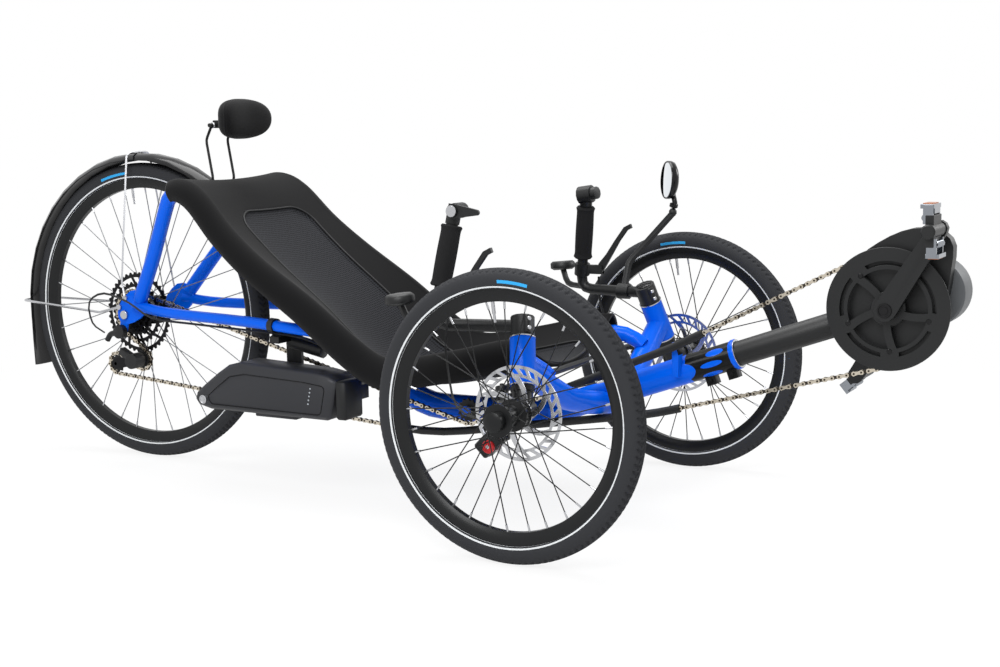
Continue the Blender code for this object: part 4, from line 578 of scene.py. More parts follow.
def wheel(name, hub, radius, body, node, profile, flange_y, flange, wire_coat):
    """Rim, hub, spokes, nipples and valve of one wheel."""
    outer = radius / math.cos(math.pi / 32) + TYRE_HALF * (math.cos(BEAD_ANGLE) - 1) - 0.0003
    inner = outer - 0.022
    rim = [
        (outer + 0.0012, -0.013), (outer + 0.0012, -0.0115), (outer - 0.003, -0.0108),
        (outer - 0.003, 0.0108), (outer + 0.0012, 0.0115), (outer + 0.0012, 0.013),
        (outer - 0.008, 0.013), (inner + 0.004, 0.0085), (inner, 0.0055), (inner, -0.0055),
        (inner + 0.004, -0.0085), (outer - 0.008, -0.013)]
    ring = lathe(rim, hub, ACROSS, 128, True)
    core = lathe(profile, hub, ACROSS, 40, profile[0][0] > 0.001)
    wires, ends = spokes(hub, flange_y, flange, inner, SPOKE_COUNT)
    piece(name, merged([ring, core]), BLACK_ANODISED, body, node, 32.0)
    piece(name + "_spokes", wires, wire_coat, body, None, 70.0)
    piece(name + "_nipples", ends, BRIGHT_STEEL, body, None, 70.0)
    way = polar(1.0, VALVE_ANGLE)
    valve = merged([
        sweep(np.array((hub + way * (inner + 0.003), hub + way * (inner - 0.02))), 0.003, 10),
        sweep(np.array((hub + way * (inner - 0.018), hub + way * (inner - 0.034))), 0.0022, 10)])
    piece(name + "_valve", valve, BRIGHT_STEEL, body, None, 50.0)


def rotor(name, hub, side, body, node):
    """Disc of two rings joined by slanted bars, with curved arms to a middle ring."""
    centre = hub - ACROSS * side * 0.038
    shells = []
    for low, high in ((0.0745, 0.0798), (0.0605, 0.065), (0.0188, 0.026)):
        shells.append(band(low, high, -0.001, 0.001, centre, ACROSS, 96))
    for k in range(26):
        a = math.tau * k / 26
        lean = math.radians(9.0)
        start = centre + polar(0.0635, a)
        end = centre + polar(0.076, a + lean)
        shells.append(flat_bar(np.array((start, end)), 0.005, 0.0019))
    for k in range(6):
        a = math.tau * k / 6
        t = np.linspace(0.0, 1.0, 8)
        r = 0.0245 + (0.0625 - 0.0245) * t
        b = a + 0.62 * t
        shells.append(flat_bar(centre + polar(r, b), 0.0085, 0.0019))
    piece(name, merged(shells), BRIGHT_STEEL, body, node, 30.0)


def flat_bar(path, width, thick):
    """Rectangular section carried along a path in an upright plane."""
    heading = unit(np.gradient(path, axis=0))
    sideways = np.cross(heading, ACROSS)
    ring = (SQUARE[None, :, :1] * sideways[:, None] * width / 2
            + SQUARE[None, :, 1:] * ACROSS * thick / 2)
    return grid(capped(path[:, None] + ring, path), wrap_columns=True)


# Half sections of the hubs: radius, distance along the axle
FRONT_HUB = [
    (0.0, 0.052), (0.012, 0.0515), (0.0165, 0.049), (0.0165, 0.033), (0.027, 0.032), (0.027, 0.027),
    (0.017, 0.024), (0.0155, 0.018), (0.0155, -0.01), (0.0175, -0.014), (0.027, -0.017),
    (0.027, -0.022), (0.02, -0.0367), (0.0172, -0.0367), (0.0172, -0.0415), (0.0116, -0.0415),
    (0.0116, 0.0455), (0.0, 0.0455)]
REAR_HUB = [
    (0.012, 0.0708), (0.0165, 0.031), (0.031, 0.029), (0.031, 0.024), (0.018, 0.021), (0.018, -0.018),
    (0.031, -0.021), (0.031, -0.026), (0.0172, -0.0285), (0.0172, -0.0685), (0.011, -0.0708),
    (0.0074, -0.0708), (0.0074, 0.0708)]


# Chain
def chain_path():
    """Line of the chain: arcs on the toothed wheels and guides, joined by their common tangents."""
    rounds = [
        (REAR_AXLE, pitch_radius(24), -1), (IDLER, pitch_radius(13), 1),
        (COLLAR + vec(-0.2296, 0.0, 0.2844), 0.3, 1), (CRANK, pitch_radius(46), -1),
        (at(-0.019, 0.0, MAIN_LEVEL + 0.6165), 0.6, -1), (at(-0.375, 0.0, MAIN_LEVEL + 0.5575), 0.6, -1),
        (TENSION, pitch_radius(11), -1), (GUIDE, pitch_radius(11), 1)]
    count = len(rounds)
    leave = [None] * count
    arrive = [None] * count
    for k in range(count):
        middle, radius, sense = rounds[k]
        target, far_radius, far_sense = rounds[(k + 1) % count]
        along = (target - middle)[[0, 2]]
        offset = (far_sense * far_radius - sense * radius) / np.linalg.norm(along)
        way = unit(along)
        heading = way * math.sqrt(1 - offset ** 2) - np.array((-way[1], way[0])) * offset
        normal = np.array((-heading[1], heading[0]))
        leave[k] = middle[[0, 2]] - normal * sense * radius
        arrive[(k + 1) % count] = target[[0, 2]] - normal * far_sense * far_radius
    line = []
    for k in range(count):
        middle, radius, sense = rounds[k]
        start = math.atan2(*(arrive[k] - middle[[0, 2]])[::-1])
        stop = math.atan2(*(leave[k] - middle[[0, 2]])[::-1])
        turn = (stop - start) * sense % math.tau
        angle = start + sense * turn * np.linspace(0.0, 1.0, 25)
        line.append(middle * UPRIGHT + polar(radius, angle, -CHAIN_LINE))
    return np.vstack(line)


def chain():
    """Links on pins at equal steps of the line: waisted plates, inner or outer by turns, and rollers."""
    line = chain_path()
    line = np.vstack((line, line[:1]))
    length = run_length(line)
    count = int(length[-1] / CHAIN_PITCH / 2) * 2
    steps = np.arange(count + 1) * length[-1] / count
    pins = np.stack([np.interp(steps, length, line[:, k]) for k in range(3)], -1)
    start = pins[:-1]
    way = unit(pins[1:] - start)
    up = np.cross(way, ACROSS)
    turn = full_turn(20)
    lobe = 0.0042 * np.cos(turn)
    outline = np.stack((
        CHAIN_PITCH / 2 + np.sign(np.round(np.cos(turn), 6)) * CHAIN_PITCH / 2 + lobe,
        np.where(np.abs(np.cos(turn)) < 0.1, 0.0024, 0.0042) * np.sin(turn)), -1)
    plates = {0: [], 1: []}
    for parity, offset in ((0, 0.0022), (1, 0.0033)):
        some = slice(parity, None, 2)
        flat = start[some, None] + way[some, None] * outline[None, :, :1]
        flat = flat + up[some, None] * outline[None, :, 1:]
        middle = np.broadcast_to(start[some, None] + way[some, None] * CHAIN_PITCH / 2, flat.shape)
        for side in (1, -1):
            near = ACROSS * side * (offset - 0.0005)
            far = ACROSS * side * (offset + 0.0005)
            rows = np.stack((middle + near, flat + near, flat + far, middle + far), 1)
            plates[parity].extend(grid(link, wrap_columns=True) for link in rows)
    around = circle(full_turn(8), way, up)
    rows = []
    for radius, y in (
            (0.0, -0.0045), (0.0018, -0.0045), (0.0018, -0.0017), (0.0038, -0.0017), (0.0038, 0.0017),
            (0.0018, 0.0017), (0.0018, 0.0045), (0.0, 0.0045)):
        rows.append(start[:, None] + around * radius + ACROSS * y)
    rollers = [grid(link, wrap_columns=True) for link in np.stack(rows, 1)]
    inner = piece(
        "chain_rollers", merged(plates[0] + rollers), CHAIN_OILED, None, None, 30.0)
    outer = piece("chain_plates", merged(plates[1]), CHAIN_NICKEL, None, None, 30.0)
    for made in (inner, outer):
        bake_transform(made)
    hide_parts("chain")


def toothed(centre, teeth, y, low, thick, depth=0.0046, per=8):
    """Flat ring whose outer radius is a clipped cosine of the tooth count about the pitch radius."""
    pitch = pitch_radius(teeth)
    angle = full_turn(teeth * per)
    high = pitch - depth / 2 + depth * np.clip(0.5 + 0.9 * np.cos(teeth * angle), 0.0, 1.0)
    rows = []
    for radius, side in ((low, -1), (high, -1), (high, 1), (low, 1)):
        rows.append(centre + polar(radius, angle, y + side * thick / 2))
    return grid(np.stack(rows, 1), wrap_rows=True, wrap_columns=True)


def spokes_flat(centre, y, low, high, count, width, thick, lean=0.0, phase=0.0):
    """Flat arms at equal turns from one radius to another, leaning by an angle on the way."""
    arms = []
    t = np.linspace(0.0, 1.0, 5)
    for k in range(count):
        angle = phase + math.tau * k / count + lean * t
        radius = low + (high - low) * t
        arms.append(flat_bar(centre + polar(radius, angle, y), width, thick))
    return arms


def flat_ring(centre, y, low, high, thick, steps=96):
    """Plain washer in an upright plane with its rims broken."""
    lip = thick * 0.2
    half = thick / 2
    return lathe(
        [(low, -half), (high - lip, -half), (high, -half + lip), (high, half - lip), (high - lip, half),
        (low, half)], vec(centre[0], y, centre[2]), ACROSS, steps, True)


def drive():
    """Chainring with spider and guard, spider bolts, crank cap, motor can and cassette."""
    wheel_parts = [
        toothed(CRANK, 46, -CHAIN_LINE, 0.074, 0.0026),
        flat_ring(CRANK, GUARD_LEVEL, 0.079, 0.1012, 0.0034, 144),
        flat_ring(CRANK, GUARD_LEVEL, 0.0655, 0.0725, 0.0034, 96),
        flat_ring(CRANK, -CHAIN_LINE - 0.004, 0.009, 0.029, 0.0116, 48)]
    wheel_parts += spokes_flat(CRANK, GUARD_LEVEL, 0.07, 0.0805, 5, 0.03, 0.0032, 0.0, CRANK_TURN)
    wheel_parts += spokes_flat(
        CRANK, GUARD_LEVEL + 0.0004, 0.024, 0.069, 5, 0.0125, 0.004, 0.2, CRANK_TURN - 0.1)
    wheel_parts += spokes_flat(
        CRANK, -CHAIN_LINE - 0.004, 0.024, 0.077, 5, 0.012, 0.009, 0.2, CRANK_TURN - 0.1)
    piece(
        "chainring_and_guard", merged(wheel_parts), BLACK_POWDER, "crank_set", "chainring",
        32.0)
    bolts = []
    for k in range(5):
        a = CRANK_TURN + math.tau * k / 5
        spot = CRANK + polar(0.069, a, GUARD_LEVEL)
        bolts.append(bar(spot - ACROSS * 0.0034, spot, 0.0042, 12))
    piece("spider_bolts", merged(bolts), BLACK_GLOSS, "crank_set")
    face = CRANK_FACE - 0.014
    cap = lathe(
        [(0.0, face - 0.0016), (0.006, face - 0.0016), (0.0064, face - 0.0006), (0.0088, face - 0.0006),
        (0.0092, face - 0.0022), (0.0118, face - 0.0022), (0.0124, face + 0.001), (0.0, face + 0.001)],
        CRANK, ACROSS, 48)
    piece("crank_cap", cap, BLACK_GLOSS, "crank_set")
    can = lathe(
        [(0.0, 0.0525), (0.05, 0.0525), (0.0555, 0.0505), (0.0572, 0.0465), (0.0572, -0.008),
        (0.055, -0.011), (0.0535, -0.0117), (0.0, -0.0117)], CRANK + vec(0.056, 0.0, 0.024), ACROSS, 96)
    piece("motor_can_shell", can, CAST_ALLOY, "boom_set", "motor_can", 28.0)
    rings = []
    for k, teeth in enumerate((15, 19, 24, 32, 42)):
        y = -CHAIN_LINE + (k - 2) * 0.006
        pitch = pitch_radius(teeth)
        if k < 2:
            rings.append(toothed(REAR_AXLE, teeth, y, 0.019, 0.0016))
            continue
        rings.append(toothed(REAR_AXLE, teeth, y, pitch - 0.009, 0.0016))
        rings += spokes_flat(REAR_AXLE, y, 0.02, pitch - 0.0075, 10, 0.0058, 0.0015, 0.34, 0.2 * k)
    low = -CHAIN_LINE - 0.0132
    high = -CHAIN_LINE + 0.0124
    rings.append(band(0.0181, 0.021, low, high, REAR_AXLE, ACROSS, 48))
    piece("cassette_rings", merged(rings), DARK_STEEL, "rear_wheel_set", "cassette", 30.0)


def pedal(word, sign, turn):
    """Clip pedal: black barrel, chromed jaw and coiled spring at each end, copper wear plates."""
    tip = CRANK - sign * polar(CRANK_LENGTH, CRANK_TURN)
    inner = CRANK_FACE if sign < 0 else 0.0605
    first = inner + sign * 0.0152
    last = inner + sign * 0.089
    middle = vec(tip[0], (first + last) / 2, tip[2])
    tilt = np.array(Matrix.Rotation(math.radians(turn), 3, "Y"))
    body = word + "_pedal"
    barrel = bar(vec(tip[0], first, tip[2]), vec(tip[0], last, tip[2]), 0.0115, 24)
    block = slab(middle, (0.013, 0.05, 0.05), tilt)
    piece(
        "pedal_barrel_" + word, merged([barrel, block]), BLACK_POWDER, body, "pedal_" + word,
        35.0)
    coil = [(0.003, -0.0015), (0.0056, -0.0006), (0.0056, 0.0006), (0.003, 0.0015)]
    shells = []
    for end in (1, -1):
        for x, y, z, size in (
                (-0.003, -0.0215, 0.026, (0.0155, 0.0045, 0.03)),
                (-0.003, 0.0215, 0.026, (0.0155, 0.0045, 0.03)),
                (-0.0046, 0.0, 0.0385, (0.021, 0.046, 0.007)),
                (0.003, 0.0, 0.033, (0.006, 0.036, 0.012))):
            shells.append(slab(middle + tilt @ vec(x * end, y, z * end), size, tilt))
        spring = vec(-0.009 * end, 0.0, 0.0205 * end)
        for y in np.linspace(-0.017, 0.017, 9):
            shells.append(lathe(coil, middle + tilt @ spring + ACROSS * y, ACROSS, 20, True))
    piece("pedal_binding_" + word, merged(shells), CHROME, body, None, 35.0)
    plates = []
    for end in (1, -1):
        spot = middle + tilt @ vec(-0.0046 * end, 0.0, 0.0425 * end)
        plates.append(slab(spot, (0.016, 0.034, 0.0016), tilt))
    piece("pedal_plate_" + word, merged(plates), COPPER, body, None, 35.0)


# Seat
PANEL_MID = 0.515
PANEL_HALF = 0.395
PANEL_WIDE = 0.112
PANEL_ROUND = 0.05
RAIL_WIDE = 0.18
# Middle line of the right seat rail from its stay to its front end
SEAT_RAIL = eased(
    [(-1.048, -0.078, 0.354), (-0.98, -0.106, 0.45), (-0.911, -0.142, 0.548),
    (-0.886, -RAIL_WIDE * 0.845, 0.577), (-0.85, -RAIL_WIDE * 0.89, 0.586),
    (-0.806, -RAIL_WIDE * 0.92, 0.565), (-0.74, -RAIL_WIDE * 0.965, 0.5), (-0.66, -RAIL_WIDE, 0.437),
    (-0.548, -RAIL_WIDE, 0.362), (-0.456, -RAIL_WIDE, 0.293), (-0.392, -RAIL_WIDE, 0.256),
    (-0.33, -RAIL_WIDE, 0.251), (-0.21, -RAIL_WIDE * 1.015, 0.274), (-0.105, -RAIL_WIDE * 1.045, 0.299),
    (-0.052, -RAIL_WIDE * 1.09, 0.298), (-0.016, -RAIL_WIDE * 1.12, 0.278)], 12) + vec(SHIFT, 0.0, 0.0)


def seat_sling():
    """Closed section carried along the rails: round each rail, over a bolster, sagging between."""
    line = SEAT_RAIL[(SEAT_RAIL[:, 0] > SHIFT - 0.874) & (SEAT_RAIL[:, 0] < SHIFT - 0.078)]
    heading = unit(np.gradient(line, axis=0) * UPRIGHT)
    up = np.stack((-heading[:, 2], np.zeros(len(line)), heading[:, 0]), -1)
    wide = -line[:, 1]
    walk = run_length(line)
    down = np.clip((line[:, 0] - SHIFT + 0.83) / 0.45, 0.0, 1.0)
    ease = down * down * (3 - 2 * down)
    sag = 0.008 + 0.058 * ease
    bolster = 0.011 * ease
    wrap = (RAIL_RADIUS + 0.0012) / math.cos(math.radians(25.0))
    angle = np.radians(np.linspace(-42.0, 100.0, 16))
    part = np.linspace(1.0, 0.0, 46)[1:]
    last_y = wide + wrap * math.cos(angle[-1])

    def in_panel(w, y):
        """Depth inside the mesh panel, a rectangle with round corners, in metres from its edge."""
        long_way = np.abs(w - PANEL_MID) - PANEL_HALF + PANEL_ROUND
        off = np.stack((long_way, np.abs(y) - PANEL_WIDE + PANEL_ROUND), -1)
        out = np.linalg.norm(np.maximum(off, 0.0), axis=-1) + np.minimum(off.max(-1), 0.0)
        return PANEL_ROUND - out

    def half(skin):
        """Sideways and upward offsets from the wrapped edge to the middle, on a skin over the rail."""
        y_edge = wide[:, None] + (wrap + skin) * np.cos(angle)[None]
        lifted = np.maximum(0.0, np.sin(angle))[None] * bolster[:, None]
        u_edge = (wrap + skin) * np.sin(angle)[None] + lifted
        y_mid = last_y[:, None] * part[None]
        drop = sag[:, None] * (1 - part[None] ** 2)
        dent = 0.0038 * np.clip(in_panel(walk[:, None] + 0 * y_mid, y_mid) / 0.007, 0.0, 1.0)
        u_mid = u_edge[:, -1:] - drop - (dent if skin > 0.004 else 0.0)
        return np.hstack((y_edge, y_mid)), np.hstack((u_edge, u_mid))

    top_y, top_u = half(0.0088)
    low_y, low_u = half(0.0008)
    section_y = np.hstack((-top_y, top_y[:, -2::-1], low_y, -low_y[:, -2::-1]))
    section_u = np.hstack((top_u, top_u[:, -2::-1], low_u, low_u[:, -2::-1]))
    points = line[:, None] * UPRIGHT + up[:, None] * section_u[..., None]
    points[..., 1] += section_y
    count = top_y.shape[1] * 2 - 1
    on_top = (np.arange(section_y.shape[1]) < count)[None]
    walks = np.broadcast_to(walk[:, None], section_y.shape)
    cloth = np.stack((walks, section_y), -1)
    panel = np.clip(in_panel(walks, section_y) / 0.002, 0.0, 1.0) * on_top
    made = piece(
        "seat_cover", grid(points, wrap_columns=True), sling_cloth(), "frame", "seat_sling",
        70.0, {"cloth": cloth.reshape(-1, 2), "panel": panel.reshape(-1, 1)})
    shape = bmesh.new()
    shape.from_mesh(made.data)
    bmesh.ops.holes_fill(shape, edges=[e for e in shape.edges if e.is_boundary])
    bmesh.ops.recalc_face_normals(shape, faces=shape.faces)
    shape.to_mesh(made.data)
    shape.free()
    # piping round the panel, on the cover's top skin
    turn = full_turn(240)
    way = np.stack((np.cos(turn), np.sin(turn)), -1)
    core = np.sign(way) * np.array((PANEL_HALF - PANEL_ROUND, PANEL_WIDE - PANEL_ROUND))
    loop = core + PANEL_ROUND * way + np.array((PANEL_MID, 0.0))
    ring = np.vstack((loop, loop[:1]))
    place = run_length(ring)
    even = np.arange(360) * place[-1] / 360
    w = np.interp(even, place, ring[:, 0])
    y = np.interp(even, place, ring[:, 1])
    edge = (wrap + 0.0088) * math.sin(angle[-1]) + math.sin(angle[-1]) * bolster
    across = y / np.interp(w, walk, last_y)
    lift = np.interp(w, walk, edge) - np.interp(w, walk, sag) * (1 - across ** 2) + 0.0008
    cord = np.stack((
        np.interp(w, walk, line[:, 0]) + lift * np.interp(w, walk, up[:, 0]), y,
        np.interp(w, walk, line[:, 2]) + lift * np.interp(w, walk, up[:, 2])), -1)
    piece("panel_piping", sweep(cord, 0.0021, 8, True), NYLON, "frame", None, 70.0)


def headrest():
    """Cushion whose distance from its middle follows a power of 2.6, dished in front, with a welt."""
    v = np.linspace(0.0, math.pi, 49)
    u = full_turn(96)
    uu, vv = np.meshgrid(u, v)
    x = np.sin(vv) * np.cos(uu)
    y = np.sin(vv) * np.sin(uu)
    z = np.cos(vv)
    spread = (np.abs(x) ** 2.6 + np.abs(y) ** 2.6 + np.abs(z) ** 2.6) ** (-1 / 2.6)
    welt = 1 + 0.018 * np.exp(-(x / 0.05) ** 2)
    px = x * spread * 0.0275 - 0.01 * (1 - y ** 2) + 0.01 * y ** 2
    centre = HEADREST_PIVOT + vec(0.056, 0.0, 0.012)
    points = np.stack((px, y * spread * 0.0725 * welt, z * spread * 0.04 * welt), -1) + centre
    made = piece(
        "headrest_cushion", grid(points, wrap_columns=True), KNIT, "headrest", "headrest_pad",
        70.0)
    lug = slab(HEADREST_PIVOT + vec(0.014, 0.0, 0.002), (0.04, 0.046, 0.016))
    piece("headrest_lug", lug, NYLON, "headrest", None, 30.0)


def grips():
    """Foam sleeves: a turned profile with rounded, slightly flared ends."""
    s = np.linspace(0.0, 1.0, 40)
    end = np.exp(-(s / 0.06) ** 2) + np.exp(-((1 - s) / 0.06) ** 2)
    radius = 0.0168 + 0.001 * np.sin(math.pi * s) + 0.0026 * end
    radius = radius * np.clip(np.minimum(s, 1 - s) * 60, 0.86, 1.0)
    profile = np.column_stack((radius, s * GRIP_LENGTH))
    profile = np.vstack(((0.0114, 0.0), profile, (0.0114, GRIP_LENGTH)))
    for word, sign in SIDES:
        flip = vec(1.0, sign, 1.0)
        shape = lathe(profile, GRIP_LOW * flip, POST * flip, 40, True)
        piece(
            "grip_sleeve_" + word, shape, GRIP_FOAM, word + "_steering", "grip_" + word,
            50.0)


# Small parts
def details():
    """Collar, brake knobs, head rings, clamps, mirror, battery lock and lamps, and bolts."""
    ring = lathe(
        [(0.0226, -0.004), (0.0262, -0.004), (0.0268, -0.003), (0.0268, 0.003), (0.0262, 0.004),
        (0.0226, 0.004)], COLLAR - BOOM * 0.0045, BOOM, 64, True)
    piece("collar_ring", ring, BLUE_LACQUER, "frame")
    line = band(0.0225, 0.0258, 0.0, 0.0012, COLLAR - BOOM * 0.0005, BOOM, 64)
    piece("collar_line", line, BRIGHT_STEEL, "frame")
    for word, sign in SIDES:
        flip = vec(1.0, sign, 1.0)
        steering = word + "_steering"
        out = vec(0.0, -sign, 0.0)
        knob = (CALIPER_MID + vec(0.004, 0.0, -0.004)) * flip
        piece(
            "brake_knob_" + word, bar(knob + out * 0.009, knob + out * 0.016, 0.0112, 24), RED_ANODISED,
            steering)
        piece(
            "brake_knob_screw_" + word, bar(knob + out * 0.015, knob + out * 0.017, 0.0034, 12),
            BRIGHT_STEEL, steering)
        low = HEAD_MID * flip
        pin = KINGPIN * flip
        for end in (-0.0425, 0.0405):
            ring = band(0.019, 0.0224, 0.0, 0.002, low + pin * end, pin, 48)
            piece("head_ring_%s_%d" % (word, end > 0), ring, BRIGHT_STEEL, "frame")
        away = vec(0.8, -0.6, 0.0)
        away = unit(away - pin * (away @ pin))
        clamp = CLAMP_MID * flip
        screws = []
        for along in (-0.0085, 0.0075):
            spot = clamp + pin * along
            screws.append(bar(spot + away * 0.021, spot + away * 0.0262, 0.0036, 14))
        ear = clamp + away * 0.0165
        lug = bar(ear - pin * 0.0165, ear + pin * 0.0155, 0.0078, 16)
        piece("clamp_lug_" + word, lug, BLACK_POWDER, steering)
        piece("clamp_screws_" + word, merged(screws), BRIGHT_STEEL, steering)
        cap = clamp + pin * 0.0168
        dome = lathe(
            [(0.0, 0.003), (0.006, 0.0028), (0.0125, 0.0012), (0.013, 0.0), (0.0, 0.0)], cap, pin, 32)
        piece("steerer_cap_" + word, dome, BLACK_GLOSS, steering)
        bolt = (HEADREST_PIVOT + vec(0.0, -0.0285, 0.0)) * flip
        piece(
            "headrest_bolt_" + word, bar(bolt, bolt + out * 0.0045, 0.0062, 16), BRIGHT_STEEL, "frame")
    ball = at(-0.008, TRACK / 2 - 0.056, FRONT_RADIUS + 0.286)
    middle = ball + vec(-0.006, 0.0, 0.064)
    face = unit(vec(-0.76, -0.64, 0.06))
    shell = lathe(
        [(0.0352, 0.008), (0.0372, 0.0082), (0.038, 0.007), (0.038, 0.0), (0.036, -0.005),
        (0.0285, -0.0095), (0.015, -0.0135), (0.0, -0.0148), (0.0, 0.0066), (0.0352, 0.0066)], middle,
        face, 72)
    bend = [
        ball + vec(0.0015, 0.0, 0.0092), ball + vec(0.004, 0.001, 0.018),
        middle - face * 0.006 - vec(0.0, 0.0, 0.026)]
    stem = sweep(eased(bend, 6), 0.0052, 14)
    nut = bar(ball + vec(0.001, 0.0, 0.0092), ball + vec(0.0032, 0.0, 0.018), 0.0086, 18)
    piece(
        "mirror_shell", merged([shell, stem, nut]), BLACK_GLOSS, "mirror", "mirror_head")
    disc = lathe([(0.0, 0.0084), (0.034, 0.0076), (0.035, 0.007), (0.0, 0.0066)], middle, face, 72)
    piece("mirror_glass", disc, MIRROR_GLASS, "mirror")
    shifter = POST_TOP + vec(0.006, 0.0, -0.01)
    piece(
        "shifter_cap", bar(shifter - ACROSS * 0.0258, shifter - ACROSS * 0.0282, 0.0098, 24),
        BRIGHT_STEEL, "right_steering")
    lock = lathe([
        (0.0, 0.003), (0.003, 0.003), (0.0034, 0.0022), (0.0062, 0.0022), (0.007, 0.0034),
        (0.0086, 0.0034), (0.0092, 0.0), (0.0, 0.0)], at(-0.803, BATTERY_SIDE, 0.1765), -ACROSS, 32)
    piece("battery_lock", lock, BRIGHT_STEEL, "battery")
    lamps = []
    for k in range(5):
        spot = at(-0.548 + 0.0016 * k, BATTERY_SIDE, 0.186 + 0.0075 * k)
        lamps.append(bar(spot + ACROSS * 0.001, spot - ACROSS * 0.0008, 0.0017, 10))
    piece("battery_lamps", merged(lamps), LAMP_PLASTIC, "battery")
    outline = np.array([at(x, BATTERY_SIDE, z) for x, z in (
        (-0.786, 0.168), (-0.52, 0.166), (-0.508, 0.222), (-0.56, 0.2275), (-0.7, 0.2335),
        (-0.736, 0.2265), (-0.772, 0.2005), (-0.792, 0.184))])
    seam = sweep(rounded(np.vstack((outline[-1:], outline)), 0.01, 5), 0.0011, 6)
    piece("battery_seam", seam, BLACK_GLOSS, "battery", None, 60.0)
    bolts = []
    for place, out, reach in ((IDLER, 0.009, 0.0052), (GUIDE, 0.0072, 0.004), (TENSION, 0.0072, 0.004)):
        bolts.append(bar(place - ACROSS * out, place - ACROSS * (out + 0.0022), reach, 14))
    piece("idler_bolt", bolts[0], BRIGHT_STEEL, "frame")
    piece("cage_bolts", merged(bolts[1:]), BRIGHT_STEEL, "cage")


def dress_solids():
    """Finish for each solid that keeps its own shape."""
    finishes = {
        BLUE_LACQUER: (
            "cross_arm_left", "cross_arm_right", "seat_hoop_left", "seat_hoop_right", "chainstay_left",
            "chainstay_right", "rear_bridge"),
        BLACK_POWDER: (
            "boom", "motor_housing", "crank_right", "crank_left", "handlebar_left", "handlebar_right",
            "brake_lever_left", "brake_lever_right", "caliper_left", "caliper_right", "derailleur_body",
            "derailleur_carriage", "battery_bracket", "tie_rod", "shifter_lever", "headrest_frame"),
        BLACK_ANODISED: ("knuckle_left", "knuckle_right"),
        DARK_STEEL: ("derailleur_cage",),
        BRIGHT_STEEL: ("rear_axle", "fender_stay_upper", "fender_stay_rear"),
        NYLON: (
            "chain_tube_upper", "chain_tube_lower", "idler_pulley", "guide_pulley", "tension_pulley",
            "shift_cable", "brake_cable_left", "brake_cable_right", "battery_base"),
        BATTERY_ABS: ("battery_case",),
        BLACK_GLOSS: ("rear_fender",),
    }
    sharp = ("idler_pulley", "guide_pulley", "tension_pulley", "derailleur_cage")
    for finish, nodes in finishes.items():
        for node in nodes:
            dressed(node, finish, 30.0 if node in sharp else 50.0, 0.0 if node in sharp else 0.0006)
    dressed("main_tube", beam_lacquer())


# Stage
CAMERA_PLACE = at(1.1588, -2.4954, 0.7239)
CAMERA_TURN = (29.0, 8.131, -0.958)
CAMERA_LENS = 54.66
WHITE = (1.0, 1.0, 1.0, 1.0)


def background_rays(tree):
    """One for rays from the camera, from glass and from gloss, which see a plain white background."""
    seen = add_node(tree, "LightPath")
    either = add_node(
        tree, "Math", {"operation": "MAXIMUM"},
        {0: seen.outputs["Is Camera Ray"], 1: seen.outputs["Is Transmission Ray"]})
    return add_node(
        tree, "Math", {"operation": "MAXIMUM"},
        {0: either, 1: seen.outputs["Is Glossy Ray"]})


def aimed(holder, place, axes):
    """Lamp or camera put at a place with its three axes along unit vectors."""
    holder.matrix_world = Matrix.Translation(place) @ Matrix(np.column_stack(axes).tolist()).to_4x4()


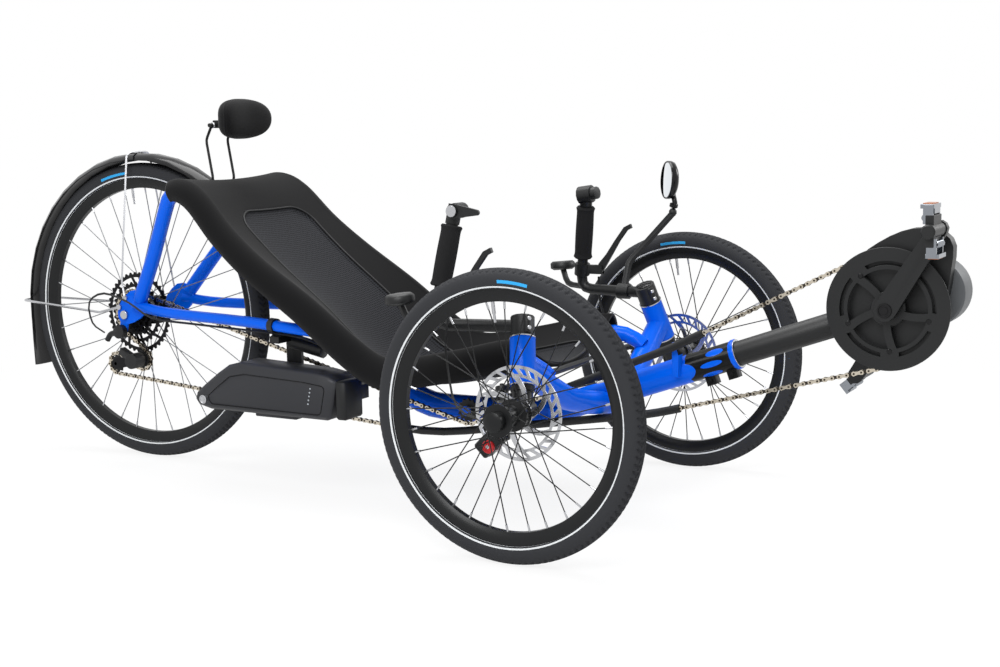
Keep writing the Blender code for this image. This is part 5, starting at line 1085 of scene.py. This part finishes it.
def stage():
    """Pale floor, soft lamps, a plain world and the photograph's camera."""
    mesh = bpy.data.meshes.new("floor")
    mesh.from_pydata([(-30, -30, 0), (30, -30, 0), (30, 30, 0), (-30, 30, 0)], [], [(0, 1, 2, 3)])
    floor = shown("floor", mesh)
    plain = bpy.data.materials.new("pale_floor")
    plain.use_nodes = True
    tree = plain.node_tree
    tree.nodes.clear()
    body = add_node(tree, "BsdfDiffuse", {"Color": colour("#F2F2F2")})
    glow = add_node(tree, "Emission", {"Color": WHITE, "Strength": 1.0})
    either = background_rays(tree)
    where = add_node(tree, "TexCoord")
    far = add_node(tree, "VectorMath", {"operation": "LENGTH"}, {0: where.outputs["Object"]})
    fade = add_node(
        tree, "MapRange", {"From Min": 0.7, "From Max": 2.0, "To Min": 0.86, "To Max": 1.0},
        {"Value": far.outputs["Value"]})
    share = add_node(tree, "Math", {"operation": "MULTIPLY"}, {0: either, 1: fade.outputs["Result"]})
    mixed = add_node(tree, "MixShader", {}, {0: share, 1: body, 2: glow})
    add_node(tree, "OutputMaterial", {}, {"Surface": mixed})
    mesh.materials.append(plain)
    world = bpy.data.worlds.new("studio")
    bpy.context.scene.world = world
    world.use_nodes = True
    tree = world.node_tree
    tree.nodes.clear()
    either = background_rays(tree)
    dim, white = (
        add_node(tree, "Background", {"Color": WHITE, "Strength": power}) for power in (0.45, 1.0))
    mixed = add_node(tree, "MixShader", {}, {0: either, 1: dim, 2: white})
    add_node(tree, "OutputWorld", {}, {"Surface": mixed})
    for name, place, aim, size, power in (
            ("key", (0.6, -2.6, 2.6), (0.2, 0.0, 0.3), 1.8, 90.0),
            ("top", (-0.4, 0.4, 3.0), (0.0, 0.0, 0.3), 2.2, 80.0),
            ("rim", (2.4, 2.2, 1.8), (0.3, 0.0, 0.3), 1.2, 35.0)):
        lamp = bpy.data.lights.new(name, "AREA")
        lamp.size = size
        lamp.energy = power
        holder = shown(name, lamp)
        back = unit(np.subtract(place, aim))
        level = unit(np.cross((0.0, 0.0, 1.0), back))
        aimed(holder, place, (level, np.cross(back, level), back))
    yaw, pitch, roll = (math.radians(a) for a in CAMERA_TURN)
    ahead = vec(-math.sin(yaw) * math.cos(pitch), math.cos(yaw) * math.cos(pitch), -math.sin(pitch))
    level = vec(math.cos(yaw), math.sin(yaw), 0.0)
    rise = np.cross(level, ahead)
    right = math.cos(roll) * level + math.sin(roll) * rise
    upward = -math.sin(roll) * level + math.cos(roll) * rise
    camera = bpy.data.cameras.new("camera")
    camera.sensor_width = 36.0
    camera.lens = CAMERA_LENS
    holder = shown("camera", camera)
    aimed(holder, CAMERA_PLACE, (right, upward, -ahead))
    bpy.context.scene.camera = holder
    bpy.context.scene.view_settings.view_transform = "Standard"


def build():
    """Every piece of the tricycle, then the stage."""
    for word, hub, side in (("left", LEFT_HUB, 1), ("right", RIGHT_HUB, -1)):
        body = word + "_wheel_set"
        tyre(
            "front_tyre_%s_rubber" % word, hub, FRONT_RADIUS, body, "front_tyre_" + word,
            96.0 if side > 0 else 84.0)
        wheel(
            "front_wheel_%s_rim" % word, hub, FRONT_RADIUS, body, "front_wheel_" + word,
            [(r, side * y) for r, y in FRONT_HUB], (side * 0.0295, side * -0.0195), 0.027,
            BLACK_ANODISED)
        rotor("rotor_%s_disc" % word, hub, side, body, "rotor_" + word)
    tyre("rear_tyre_rubber", REAR_AXLE, REAR_RADIUS, "rear_wheel_set", "rear_tyre", 103.0)
    wheel(
        "rear_wheel_rim", REAR_AXLE, REAR_RADIUS, "rear_wheel_set", "rear_wheel", REAR_HUB,
        (0.0265, -0.0235), 0.031, SPOKE_WIRE)
    chain()
    drive()
    pedal("right", -1, 0.0)
    pedal("left", 1, 50.0)
    seat_sling()
    headrest()
    grips()
    details()
    dress_solids()
    stage()


build()
